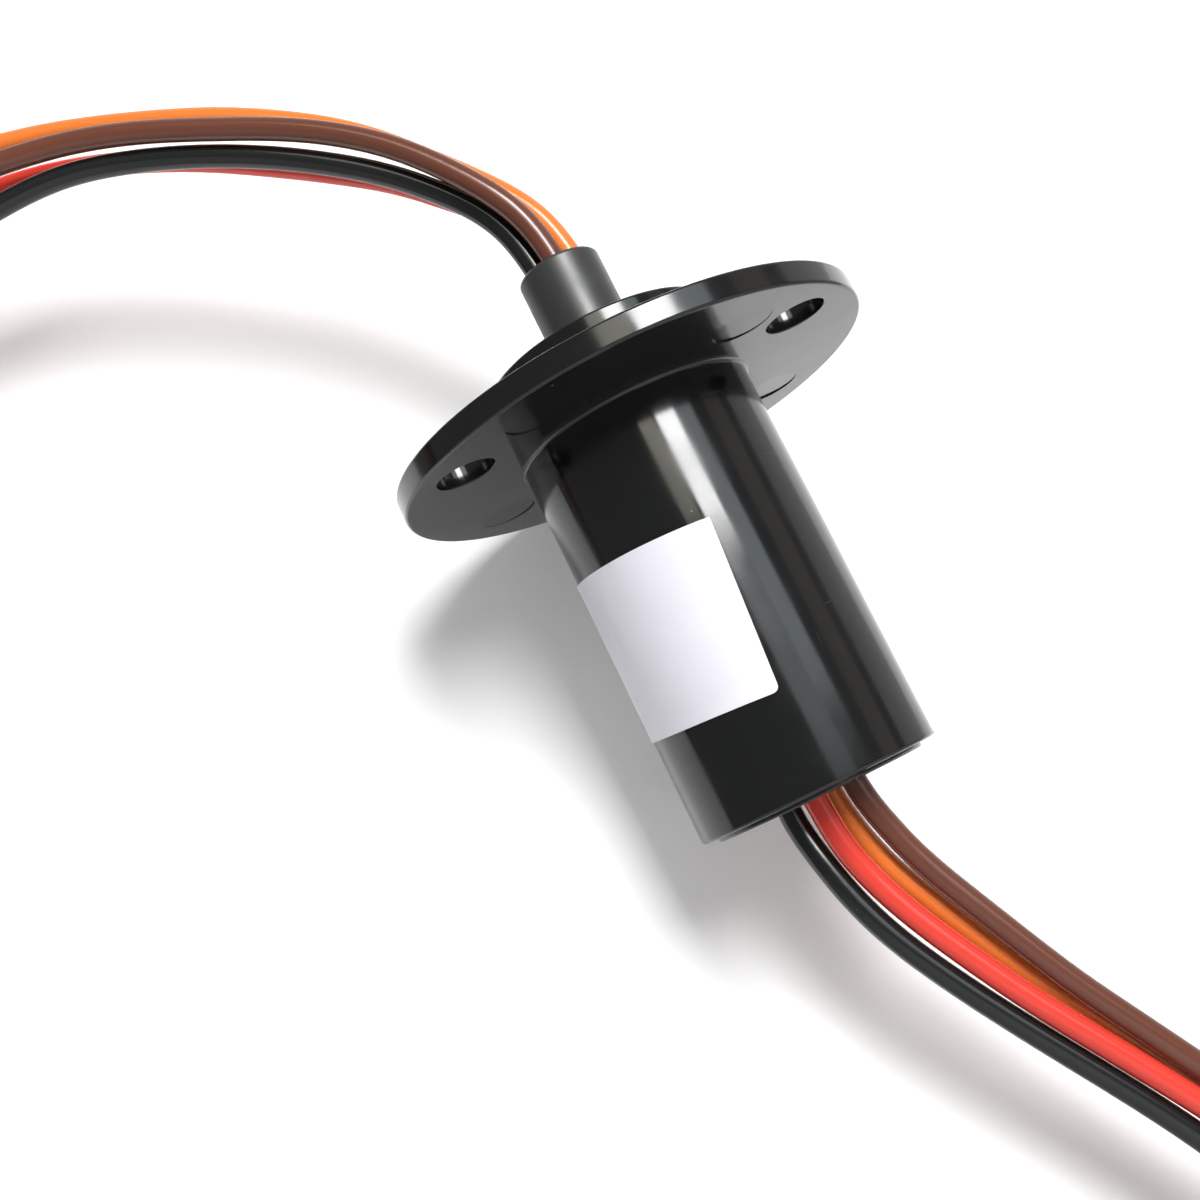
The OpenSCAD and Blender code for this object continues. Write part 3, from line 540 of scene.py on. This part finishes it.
class MakeHousing(bpy.types.Operator):
    """Makes the moulded housing with its bolt holes and ejector marks"""

    bl_idname = "slip_ring.make_housing"
    bl_label = "Housing"

    def body(self, sizes):
        """The turned form: barrel, flange, boss, bearing seat and bore."""
        low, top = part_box("housing")[0].z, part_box("housing")[1].z
        radius, height = reach("housing")
        flange_r = widest("housing")
        flange_high = flange_top()
        barrel_r = barrel_radius()
        boss_r = widest("housing", low=flange_high + 1 * MM)
        bore_r = narrowest("housing", high=-1 * MM)
        bore_top = float(height[abs(radius - bore_r) < 0.01 * MM].max())
        lip_r = narrowest("housing", low=top - 0.1 * MM)
        seat_r = widest("front_outer_race")
        seat_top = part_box("front_outer_race")[1].z
        outline = [
            (bore_r, low), (barrel_r, low), (barrel_r, 0), (flange_r, 0), (flange_r, flange_high),
            (boss_r, flange_high), (boss_r, top), (lip_r, top), (lip_r, seat_top),
            (seat_r, seat_top), (seat_r, bore_top), (bore_r, bore_top),
        ]
        rounds = {
            0: sizes.lip_edge, 1: sizes.edge, 2: sizes.root, 3: sizes.edge, 4: sizes.edge,
            5: sizes.root, 6: sizes.edge, 7: sizes.lip_edge,
        }
        return turned("housing_shell", outline, rounds, sizes.steps)

    def leave_flash(self, piece, sizes):
        """Draws a ragged web of flash out of the rear rim on one side."""
        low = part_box("housing")[0].z
        barrel_r = barrel_radius()
        chance = random.Random(5)
        for vertex in piece.data.vertices:
            radius = math.hypot(vertex.co.x, vertex.co.y)
            angle = math.degrees(math.atan2(vertex.co.y, vertex.co.x))
            on_rim = vertex.co.z < low + sizes.edge * 0.7 and radius > barrel_r - sizes.edge * 0.9
            if on_rim and FLASH[0] < angle < FLASH[1]:
                fade = math.sin(math.pi * (angle - FLASH[0]) / (FLASH[1] - FLASH[0]))
                grow = 1 + fade * chance.uniform(0.002, 0.016)
                vertex.co.x *= grow
                vertex.co.y *= grow

    def bolt_hole(self, angle, sizes):
        """A cutter whose wall flares out to round the hole's two rims."""
        edge = sizes.hole_edge
        dims = MOUNTS["flange_bolts"]["dims"]
        radius = dims["hole_r_mm"] * MM
        high = flange_top()
        lean = math.radians(60)
        past = 0.5 * MM
        bends = [lean * k / 4 for k in range(5)]
        upper = [
            (radius + edge * (1 - math.cos(t)), high + edge * (math.sin(t) - math.sin(lean))) for t in bends
        ]
        lower = [(r, high - h) for r, h in reversed(upper)]
        wide = upper[-1][0] + past * math.tan(lean)
        outline = [(0, -past), (wide, -past), *lower, *upper, (wide, high + past), (0, high + past)]
        cutter = turned("bolt_hole", outline, {}, 80)
        return moved(cutter, on_circle(angle, dims["pcd_mm"] / 2 * MM))

    def ejector_mark(self, angle, proud, sizes):
        """A shallow round cutter, tilted because the pin's face wasn't quite square."""
        radius = sizes.ejector / 2
        depth, past = 0.085 * MM, 0.6 * MM
        cutter = turned("ejector_mark", [(0, -past), (radius, -past), (radius, depth), (0, depth)], {}, 72)
        place = on_circle(angle, sizes.ejector_at)
        lean_axis = Matrix.Rotation(math.radians(proud), 4, "Z") @ Vector((1, 0, 0))
        return moved(cutter, place @ Matrix.Rotation(math.radians(1.4), 4, lean_axis))

    def nick(self, angle, size):
        """A small ragged bite out of the flange's lower edge."""
        start_clean()
        bpy.ops.mesh.primitive_ico_sphere_add(subdivisions=2, radius=size * MM)
        cutter = bpy.context.object
        bpy.ops.object.mode_set(mode="EDIT")
        bpy.ops.transform.vertex_random(offset=size * 0.3 * MM, seed=int(abs(angle) * 10))
        bpy.ops.object.mode_set(mode="OBJECT")
        stretch = Matrix.Diagonal((0.7, 1.9, 0.8, 1))
        return moved(cutter, on_circle(angle, widest("housing"), 0.02 * MM) @ stretch)

    def execute(self, context):
        sizes = context.scene.slip_ring_housing
        piece = self.body(sizes)
        self.leave_flash(piece, sizes)
        count = MOUNTS["flange_bolts"]["dims"]["count"]
        cutters = [self.bolt_hole(BOLT_START + k * 360 / count, sizes) for k in range(count)]
        cutters += [self.ejector_mark(angle, proud, sizes) for angle, proud in EJECTOR_MARKS]
        cutters += [self.nick(angle, size) for angle, size in NICKS]
        cut_away(piece, cutters)
        close_up(piece)
        shade(piece)
        material = plastic_material("Moulded plastic", sizes.plastic, sizes.gloss)
        finish_piece(piece, material, "stator", "housing_plastic", "housing")
        return {"FINISHED"}


# ---- Label ----


class MakeLabel(bpy.types.Operator):
    """Makes the bare paper label that wraps the barrel askew"""

    bl_idname = "slip_ring.make_label"
    bl_label = "Label"

    def rounded_corner(self, u, v, sizes):
        """Pulls the points near the lower starting corner on to a quarter circle."""
        middle_u, middle_v = sizes.corner, -sizes.height / 2 + sizes.corner
        du, dv = u - middle_u, v - middle_v
        if du >= 0 or dv >= 0:
            return u, v
        shrink = max(-du, -dv) / math.hypot(du, dv)
        return middle_u + du * shrink, middle_v + dv * shrink

    def on_barrel(self, u, v, sizes, barrel_r):
        """Where a point of the flat label lies on the barrel, with its edges lifted a little."""
        from_edge = min(u, sizes.around - u, sizes.height / 2 - abs(v))
        lift = 0.035 * MM * math.exp(-from_edge / (0.5 * MM))
        from_corner = math.hypot(u, v + sizes.height / 2)
        lift += 0.12 * MM * math.exp(-from_corner / (1.1 * MM))
        around = u * math.cos(sizes.skew) - v * math.sin(sizes.skew)
        along = u * math.sin(sizes.skew) + v * math.cos(sizes.skew)
        angle = sizes.start - around / barrel_r
        out = barrel_r + sizes.glue + lift
        return out * math.cos(angle), out * math.sin(angle), sizes.middle + along

    def execute(self, context):
        sizes = context.scene.slip_ring_label
        barrel_r = barrel_radius()
        start_clean()
        bpy.ops.mesh.primitive_grid_add(x_subdivisions=112, y_subdivisions=60, size=1)
        piece = context.object
        piece.name = piece.data.name = "label_paper"
        for vertex in piece.data.vertices:
            u, v = (0.5 - vertex.co.x) * sizes.around, vertex.co.y * sizes.height
            u, v = self.rounded_corner(u, v, sizes)
            vertex.co = self.on_barrel(u, v, sizes, barrel_r)
        modified(piece, "SOLIDIFY", thickness=sizes.paper, offset=1)
        close_up(piece, 1e-7)
        shade(piece, 50)
        finish_piece(piece, paper_material("Label paper", sizes.white), "stator", "label_paper", "label")
        return {"FINISHED"}


# ---- Resin ----


class MakeResin(bpy.types.Operator):
    """Makes the poured resin that seals each bundle of leads, creeping up the leads and the wall"""

    bl_idname = "slip_ring.make_resin"
    bl_label = "Resin"

    def pour(self, name, node, side, free, floor):
        """A disc from its floor to its free face, which climbs where it wets a lead or the wall."""
        radius = widest(node)
        lead_r = bpy.context.scene.slip_ring_leads.diameter / 2
        lines = [centre_line(route, 0.5 * MM) for key, route in LEAD_ROUTES.items() if key.startswith(side)]
        wetted = [min(line, key=lambda p: abs(p.z - free)) for line in lines]
        start_clean()
        bpy.ops.mesh.primitive_circle_add(
            vertices=96, radius=radius, fill_type="NGON", location=(0, 0, free)
        )
        piece = bpy.context.object
        piece.name = piece.data.name = name
        rings = 15
        bpy.ops.object.mode_set(mode="EDIT")
        for _ in range(rings - 1):
            bpy.ops.mesh.inset(thickness=radius / rings, depth=0)
        bpy.ops.mesh.poke()
        bpy.ops.object.mode_set(mode="OBJECT")
        bpy.ops.object.transform_apply(location=True, rotation=False, scale=False)
        way = 1 if free > floor else -1
        modified(piece, "SOLIDIFY", thickness=abs(free - floor), offset=-way)
        for vertex in piece.data.vertices:
            at = vertex.co
            if abs(at.z - free) < 0.01 * MM:
                from_wall = max(0, radius - math.hypot(at.x, at.y))
                climb = 0.14 * MM * math.exp(-from_wall / (0.3 * MM))
                for lead in wetted:
                    away = max(0, math.hypot(at.x - lead.x, at.y - lead.y) - lead_r)
                    climb += 0.2 * MM * math.exp(-away / (0.28 * MM))
                vertex.co.z += way * min(climb, 0.28 * MM)
        close_up(piece, 1e-7)
        shade(piece, 50)
        return piece

    def execute(self, context):
        resin = resin_material("Black resin")
        tube_floor, tube_face = (corner.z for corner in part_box("tube_potting"))
        outlet_face, outlet_floor = (corner.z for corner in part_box("outlet_potting"))
        top = self.pour("resin_in_tube", "tube_potting", "rotor", tube_face, tube_floor)
        rear = self.pour("resin_in_outlet", "outlet_potting", "stator", outlet_face, outlet_floor)
        finish_piece(top, resin, "rotor", "potting_resin", "tube_potting")
        finish_piece(rear, resin, "stator", "potting_resin", "outlet_potting")
        return {"FINISHED"}


# ---- Materials ----


def new_material(name):
    """A material with one Principled shader, and the Object coordinates that its patterns read."""
    made = bpy.data.materials.new(name)
    made.use_nodes = True
    tree = made.node_tree
    place = tree.nodes.new("ShaderNodeTexCoord").outputs["Object"]
    return made, tree, tree.nodes["Principled BSDF"], place


def join(tree, output, socket):
    """Links an output to a socket."""
    tree.links.new(output, socket)


def feed(tree, socket, value):
    """Links an output to a socket, or sets a plain value on it."""
    if isinstance(value, bpy.types.NodeSocket):
        join(tree, value, socket)
    else:
        socket.default_value = value


def stretched(tree, place, scale):
    """Coordinates multiplied by a scale for each axis."""
    step = tree.nodes.new("ShaderNodeMapping")
    step.inputs["Scale"].default_value = scale
    join(tree, place, step.inputs["Vector"])
    return step.outputs["Vector"]


def noise(tree, place, scale, detail=2):
    """Smooth noise from 0 to 1, with one scale or one for each axis."""
    if isinstance(scale, tuple):
        place, scale = stretched(tree, place, scale), 1
    step = tree.nodes.new("ShaderNodeTexNoise")
    join(tree, place, step.inputs["Vector"])
    step.inputs["Scale"].default_value = scale
    step.inputs["Detail"].default_value = detail
    return step.outputs["Fac"]


def ranged(tree, value, low, high, start=0.3, end=0.7):
    """Maps a value between start and end to low and high."""
    step = tree.nodes.new("ShaderNodeMapRange")
    join(tree, value, step.inputs["Value"])
    for name, bound in zip(("From Min", "From Max", "To Min", "To Max"), (start, end, low, high)):
        step.inputs[name].default_value = bound
    return step.outputs["Result"]


def sums(tree, kind, first, second):
    """One Math node."""
    step = tree.nodes.new("ShaderNodeMath")
    step.operation = kind
    feed(tree, step.inputs[0], first)
    feed(tree, step.inputs[1], second)
    return step.outputs["Value"]


def specks(tree, place, scale, size):
    """Small round spots, 1 inside them and 0 outside, at a few of the cells of a grid."""
    cells = tree.nodes.new("ShaderNodeTexVoronoi")
    join(tree, place, cells.inputs["Vector"])
    cells.inputs["Scale"].default_value = scale
    spot = ranged(tree, cells.outputs["Distance"], 1, 0, size * 0.6, size)
    chosen = tree.nodes.new("ShaderNodeSeparateColor")
    join(tree, cells.outputs["Color"], chosen.inputs["Color"])
    return sums(tree, "MULTIPLY", spot, sums(tree, "GREATER_THAN", chosen.outputs["Red"], 0.86))


def hairlines(tree, place, stretch, threshold):
    """Thin broken scratches, as the crests of stretched noise."""
    return ranged(tree, noise(tree, place, stretch, detail=1), 0, 1, threshold, threshold + 0.02)


def mix_colour(tree, share_of_second, first, second):
    """Mixes two colours, each an output or a plain colour."""
    step = tree.nodes.new("ShaderNodeMix")
    step.data_type = "RGBA"
    feed(tree, step.inputs[0], share_of_second)
    for socket, value in ((step.inputs[6], first), (step.inputs[7], second)):
        feed(tree, socket, value if isinstance(value, bpy.types.NodeSocket) else (*value, 1))
    return step.outputs[2]


def toned(tree, value, colour, low, high):
    """A colour at a low share of itself where the value is 0, and at a high share where it is 1."""
    return mix_colour(tree, value, [c * low for c in colour], [min(1, c * high) for c in colour])


def surfaced(tree, shader, colour, roughness, heights, **plain):
    """Sets a shader's colour, roughness, bumps and plain values. heights pairs values with metres."""
    join(tree, colour, shader.inputs["Base Color"])
    join(tree, roughness, shader.inputs["Roughness"])
    for name, value in plain.items():
        shader.inputs[name].default_value = value
    normal = None
    for value, height in heights:
        step = tree.nodes.new("ShaderNodeBump")
        step.inputs["Distance"].default_value = abs(height)
        step.invert = height < 0
        join(tree, value, step.inputs["Height"])
        if normal:
            join(tree, normal, step.inputs["Normal"])
        normal = step.outputs["Normal"]
    join(tree, normal, shader.inputs["Normal"])


def lead_material(name, colour):
    """Glossy extruded insulation: faint draw lines, a slow change of tone and a little dust."""
    made, tree, shader, place = new_material(name)
    along = tree.nodes.new("ShaderNodeUVMap").outputs["UV"]
    draw_lines = noise(tree, along, (4200, 9, 1))
    tone = noise(tree, along, (90, 45, 1))
    grain = noise(tree, place, 2600, detail=3)
    dust = specks(tree, place, 640, 0.05)
    base = toned(tree, tone, colour, 0.88, 1.1)
    dusty = mix_colour(tree, sums(tree, "MULTIPLY", dust, 0.1), base, (0.6, 0.58, 0.54))
    heights = [(draw_lines, 0.000002), (grain, 0.0000003)]
    surfaced(tree, shader, dusty, ranged(tree, grain, 0.14, 0.2), heights, IOR=1.47)
    return made


def tinned_material(name):
    """Bright tinned copper with a little dross."""
    made, tree, shader, place = new_material(name)
    dross = noise(tree, place, 1800, detail=4)
    base = mix_colour(tree, dross, (0.74, 0.73, 0.7), (0.5, 0.49, 0.46))
    surfaced(tree, shader, base, ranged(tree, dross, 0.2, 0.5), [(dross, 0.00002)], Metallic=1)
    return made


def plastic_material(name, colour, roughness):
    """Glossy moulded plastic: sink waves, polishing haze, hairline scratches and dust."""
    made, tree, shader, place = new_material(name)
    sink = noise(tree, place, 95, detail=1)
    skin = noise(tree, place, 1500, detail=3)
    haze = noise(tree, place, 210, detail=4)
    along = hairlines(tree, place, (2600, 2600, 110), 0.765)
    across = hairlines(tree, place, (190, 170, 3000), 0.775)
    marks = sums(tree, "MAXIMUM", along, across)
    dust = specks(tree, place, 520, 0.045)
    dusty = mix_colour(tree, sums(tree, "MULTIPLY", dust, 0.7), colour, (0.34, 0.34, 0.32))
    scuffed = mix_colour(tree, sums(tree, "MULTIPLY", marks, 0.03), dusty, (0.3, 0.3, 0.3))
    cloudy = ranged(tree, haze, roughness * 0.75, roughness * 1.5)
    rough = sums(tree, "ADD", cloudy, sums(tree, "MULTIPLY", marks, 0.12))
    heights = [(sink, 0.00005), (skin, 0.0000008), (marks, -0.0000006), (dust, 0.000012)]
    surfaced(tree, shader, scuffed, rough, heights, IOR=1.5)
    return made


def satin_material(name, colour, roughness, grain=0.000004):
    """Satin plastic with a fine spark-eroded grain and faint drag marks along the axis."""
    made, tree, shader, place = new_material(name)
    pores = noise(tree, place, 3200, detail=3)
    cloud = noise(tree, place, 260, detail=3)
    drag = noise(tree, place, (2400, 2400, 60))
    rough = ranged(tree, cloud, roughness * 0.85, roughness * 1.15)
    heights = [(pores, grain), (drag, grain * 0.8)]
    surfaced(tree, shader, toned(tree, cloud, colour, 0.85, 1.15), rough, heights, IOR=1.5)
    return made


def paper_material(name, colour):
    """Coated white paper with faint fibres and a soft sheen."""
    made, tree, shader, place = new_material(name)
    fibres = noise(tree, place, (2600, 2600, 1300), detail=4)
    blotches = noise(tree, place, 160, detail=3)
    bubbles = noise(tree, place, 420, detail=1)
    heights = [(fibres, 0.000003), (bubbles, 0.000016)]
    surfaced(tree, shader, toned(tree, blotches, colour, 0.97, 1.02), ranged(tree, fibres, 0.36, 0.5), heights)
    return made


def resin_material(name):
    """Cast black resin with a few pinholes."""
    made, tree, shader, place = new_material(name)
    flow = noise(tree, place, 700)
    holes = specks(tree, place, 1100, 0.2)
    base = mix_colour(tree, flow, (0.008, 0.008, 0.009), (0.016, 0.016, 0.017))
    surfaced(tree, shader, base, ranged(tree, flow, 0.12, 0.26), [(flow, 0.00003), (holes, -0.00006)])
    return made


def metal_material(name, colour, roughness, marks=0.000002):
    """Turned metal: fine tool marks in rings about the axis, on flat faces as on walls."""
    made, tree, shader, place = new_material(name)
    split = tree.nodes.new("ShaderNodeSeparateXYZ")
    join(tree, place, split.inputs["Vector"])
    squared = [sums(tree, "MULTIPLY", split.outputs[a], split.outputs[a]) for a in "XY"]
    radius = sums(tree, "SQRT", sums(tree, "ADD", *squared), 0.5)
    rings = tree.nodes.new("ShaderNodeCombineXYZ")
    join(tree, radius, rings.inputs["X"])
    join(tree, split.outputs["Z"], rings.inputs["Z"])
    tool = noise(tree, rings.outputs["Vector"], (16000, 1, 16000), detail=3)
    stain = noise(tree, place, 900, detail=4)
    rough = ranged(tree, stain, roughness * 0.8, roughness * 1.5)
    heights = [(tool, marks), (stain, marks)]
    surfaced(tree, shader, toned(tree, stain, colour, 0.82, 1), rough, heights, Metallic=1)
    return made


def laminate_material(name, colour):
    """Solder-masked glass laminate with its weave showing through."""
    made, tree, shader, place = new_material(name)
    warp = noise(tree, place, (400, 3400, 500), detail=1)
    weft = noise(tree, place, (400, 500, 3400), detail=1)
    weave = sums(tree, "MULTIPLY", warp, weft)
    base = toned(tree, ranged(tree, weave, 0, 1, 0.15, 0.35), colour, 0.8, 1)
    surfaced(tree, shader, base, ranged(tree, warp, 0.22, 0.36), [(weave, 0.00001)])
    return made


# ---- Inner parts ----


class FinishInnerParts(bpy.types.Operator):
    """Gives the parts inside the housing, and those kept as packed, their materials"""

    bl_idname = "slip_ring.finish_inner_parts"
    bl_label = "Inner parts"

    def execute(self, context):
        steel = metal_material("Bearing steel", (0.62, 0.62, 0.63), 0.2)
        balls = metal_material("Ball steel", (0.75, 0.75, 0.76), 0.07, 0.0000003)
        stamped = metal_material("Stamped steel", (0.55, 0.55, 0.54), 0.32)
        spring = metal_material("Spring steel", (0.2, 0.19, 0.18), 0.38)
        gold = metal_material("Ring gold", (0.85, 0.6, 0.24), 0.14)
        wire = metal_material("Contact wire", (0.83, 0.62, 0.3), 0.18)
        rotor = satin_material("Rotor plastic", (0.034, 0.036, 0.035), 0.36)
        cap = satin_material("Cap plastic", (0.014, 0.0145, 0.015), 0.24, 0.000002)
        cream = satin_material("Insulator plastic", (0.72, 0.67, 0.55), 0.4)
        board = laminate_material("Board laminate", (0.016, 0.1, 0.03))
        wearers = (
            (steel, ("front_outer_race", "rear_outer_race", "front_inner_race", "rear_inner_race")),
            (balls, ("front_balls", "rear_balls")),
            (stamped, ("front_cage", "rear_cage")),
            (spring, ("circlip",)),
            (gold, ("ring_1", "ring_2", "ring_3", "ring_4")),
            (wire, ("brush_1", "brush_2", "brush_3", "brush_4", "ring_tabs")),
            (rotor, ("rotor_tube", "stack_collar")),
            (cap, ("end_cap", "rear_bearing_holder")),
            (cream, ("insulator_1", "insulator_2", "insulator_3", "insulator_4", "insulator_5")),
            (board, ("brush_board_left", "brush_board_right")),
        )
        for material, names in wearers:
            for name in names:
                for place in frame["nodes"][name].material_slots:
                    place.material = material
        return {"FINISHED"}


# ---- Stage ----

# Where the key lamp stands and how large it is: azimuth, elevation, distance, width, height
KEY_TURN, KEY_RISE, KEY_FAR, KEY_WIDE, KEY_HIGH = -67, 23, 0.6, 0.19, 0.3
# What the gloss mirrors on the camera's side: name, azimuths and elevations in degrees, colour, strength
CARDS = (
    ("room_dark", -205, 0, -80, 80, (0.95, 1.0, 0.96), 0.22),
    ("window_frame", -93, -79, 10, 42, (1.0, 0.98, 0.86), 4.0),
    ("window_side", -58, -41, 0, 40, (0.86, 0.95, 1.0), 3.0),
    ("window_sill", -77, -57, -3, 9, (0.88, 0.95, 1.0), 2.0),
    ("door", -28, -10, -30, 50, (1.0, 0.9, 0.85), 0.6),
)


def direction(turn, rise):
    """The direction at an azimuth and an elevation in degrees."""
    turn, rise = math.radians(turn), math.radians(rise)
    return Vector((math.cos(turn) * math.cos(rise), math.sin(turn) * math.cos(rise), math.sin(rise)))


def bare_material(name):
    """A material with only its output, its node tree and the output's surface."""
    made = bpy.data.materials.new(name)
    made.use_nodes = True
    tree = made.node_tree
    tree.nodes.clear()
    return made, tree, tree.nodes.new("ShaderNodeOutputMaterial").inputs["Surface"]


class MakeStage(bpy.types.Operator):
    """Makes the camera, the lamps, the white sheet and the floor"""

    bl_idname = "slip_ring.make_stage"
    bl_label = "Stage"

    def camera(self, sizes):
        """The camera, and its right, down and forward directions."""
        data = bpy.data.cameras.new("Camera")
        data.lens = sizes.lens
        data.clip_start = 0.01
        camera = bpy.data.objects.new("Camera", data)
        camera.location = sizes.camera_at
        camera.rotation_euler = sizes.camera_turn
        bpy.context.scene.collection.objects.link(camera)
        bpy.context.scene.camera = camera
        turn = Euler(sizes.camera_turn).to_matrix()
        return turn @ Vector((1, 0, 0)), turn @ Vector((0, -1, 0)), turn @ Vector((0, 0, -1))

    def seen_directly(self, tree):
        """1 for rays from the lens and for those that gloss or glass sends on."""
        path = tree.nodes.new("ShaderNodeLightPath").outputs
        gloss = sums(tree, "MAXIMUM", path["Is Glossy Ray"], path["Is Transmission Ray"])
        return sums(tree, "MAXIMUM", path["Is Camera Ray"], gloss)

    def white_material(self, name, lift, one_sided):
        """Matt white that looks a little whiter to the lens, and clear from behind if one_sided."""
        made, tree, surface = bare_material(name)
        matt = tree.nodes.new("ShaderNodeBsdfDiffuse")
        matt.inputs["Color"].default_value = (0.86, 0.86, 0.86, 1)
        glow = tree.nodes.new("ShaderNodeEmission")
        join(tree, sums(tree, "MULTIPLY", self.seen_directly(tree), lift), glow.inputs["Strength"])
        both = tree.nodes.new("ShaderNodeAddShader")
        join(tree, matt.outputs[0], both.inputs[0])
        join(tree, glow.outputs[0], both.inputs[1])
        result = both.outputs[0]
        if one_sided:
            clear = tree.nodes.new("ShaderNodeBsdfTransparent")
            pick = tree.nodes.new("ShaderNodeMixShader")
            join(tree, tree.nodes.new("ShaderNodeNewGeometry").outputs["Backfacing"], pick.inputs[0])
            join(tree, result, pick.inputs[1])
            join(tree, clear.outputs[0], pick.inputs[2])
            result = pick.outputs[0]
        join(tree, result, surface)
        return made

    def plane(self, name, material, place):
        """A grid whose points place(x, y) puts, with x and y from -0.5 to 0.5."""
        start_clean()
        bpy.ops.mesh.primitive_grid_add(x_subdivisions=24, y_subdivisions=24, size=1)
        piece = bpy.context.object
        piece.name = piece.data.name = name
        for vertex in piece.data.vertices:
            vertex.co = place(vertex.co.x, vertex.co.y)
        piece.data.materials.append(material)
        return piece

    def card(self, name, turn_from, turn_to, low, high, colour, strength, distance):
        """A patch of a sphere round the part that only gloss sees."""
        made, tree, surface = bare_material(name)
        glow = tree.nodes.new("ShaderNodeEmission")
        glow.inputs["Color"].default_value = (*colour, 1)
        glow.inputs["Strength"].default_value = strength
        join(tree, glow.outputs[0], surface)

        def place(x, y):
            turn = turn_from + (x + 0.5) * (turn_to - turn_from)
            return distance * direction(turn, low + (y + 0.5) * (high - low))

        piece = self.plane(name, made, place)
        piece.visible_camera = piece.visible_diffuse = piece.visible_shadow = False
        piece.visible_transmission = piece.visible_volume_scatter = False

    def key_lamp(self, sizes):
        """The main lamp, a soft box off to the side and above."""
        data = bpy.data.lights.new("Key lamp", "AREA")
        data.shape = "RECTANGLE"
        data.size, data.size_y = KEY_WIDE, KEY_HIGH
        data.energy = sizes.key
        lamp = bpy.data.objects.new("Key lamp", data)
        towards = direction(KEY_TURN, KEY_RISE)
        lamp.location = towards * KEY_FAR
        lamp.rotation_euler = towards.to_track_quat("Z", "Y").to_euler()
        lamp.visible_camera = False
        bpy.context.scene.collection.objects.link(lamp)

    def world(self, sizes):
        """White to the lens and to gloss, and a soft grey light on everything."""
        world = bpy.data.worlds.new("Room")
        world.use_nodes = True
        tree = world.node_tree
        tree.nodes.clear()
        sky = tree.nodes.new("ShaderNodeBackground")
        join(tree, ranged(tree, self.seen_directly(tree), sizes.room, 1, 0, 1), sky.inputs["Strength"])
        out = tree.nodes.new("ShaderNodeOutputWorld")
        join(tree, sky.outputs[0], out.inputs["Surface"])
        bpy.context.scene.world = world

    def execute(self, context):
        sizes = context.scene.slip_ring_stage
        right, down, forward = self.camera(sizes)
        half_high = 70 * MM

        def on_sheet(x, y):
            v = -y * 2 * half_high
            u = x * 2 * (66 * MM + 0.35 * max(0, -v))
            return right * u + down * v + forward * (sizes.sheet_gap + 0.06 * u - 0.4 * v)

        self.plane("white_sheet", self.white_material("White sheet", sizes.lift, True), on_sheet)
        floor_z = CAD_BOX[0][2] - 4 * MM
        pale = self.white_material("Pale floor", sizes.lift, False)
        self.plane("floor", pale, lambda x, y: Vector((x * 3, y * 3, floor_z)))
        for k, card in enumerate(CARDS):
            self.card(*card, distance=1.0 - 0.02 * k)
        self.key_lamp(sizes)
        self.world(sizes)
        context.scene.view_settings.view_transform = "Standard"
        return {"FINISHED"}


# ---- Panel and start ----


class SlipRingPanel(bpy.types.Panel):
    """Lists the steps that make the slip ring, and their sizes"""

    bl_idname = "SLIP_RING_PT_steps"
    bl_label = "Slip ring"
    bl_space_type = "VIEW_3D"
    bl_region_type = "UI"
    bl_category = "Slip ring"

    def draw(self, context):
        for group, operator in STEPS:
            box = self.layout.box()
            box.operator(operator.bl_idname)
            if group:
                sizes = getattr(context.scene, group)
                for name in sizes.bl_rna.properties.keys():
                    if name not in {"rna_type", "name"}:
                        box.prop(sizes, name)


GROUPS = {
    "slip_ring_stage": StageSizes,
    "slip_ring_leads": LeadSizes,
    "slip_ring_housing": HousingSizes,
    "slip_ring_label": LabelSizes,
}
STEPS = (
    ("slip_ring_stage", MakeStage),
    ("slip_ring_leads", MakeLeads),
    ("slip_ring_housing", MakeHousing),
    ("slip_ring_label", MakeLabel),
    (None, MakeResin),
    (None, FinishInnerParts),
)
CLASSES = (*GROUPS.values(), *(operator for _, operator in STEPS), SlipRingPanel)


def register():
    for item in CLASSES:
        bpy.utils.register_class(item)
    for name, group in GROUPS.items():
        setattr(bpy.types.Scene, name, PointerProperty(type=group))


def unregister():
    for name in GROUPS:
        delattr(bpy.types.Scene, name)
    for item in reversed(CLASSES):
        bpy.utils.unregister_class(item)


def main():
    register()
    for _, operator in STEPS:
        family, name = operator.bl_idname.split(".")
        getattr(getattr(bpy.ops, family), name)()


if __name__ == "__main__":
    main()
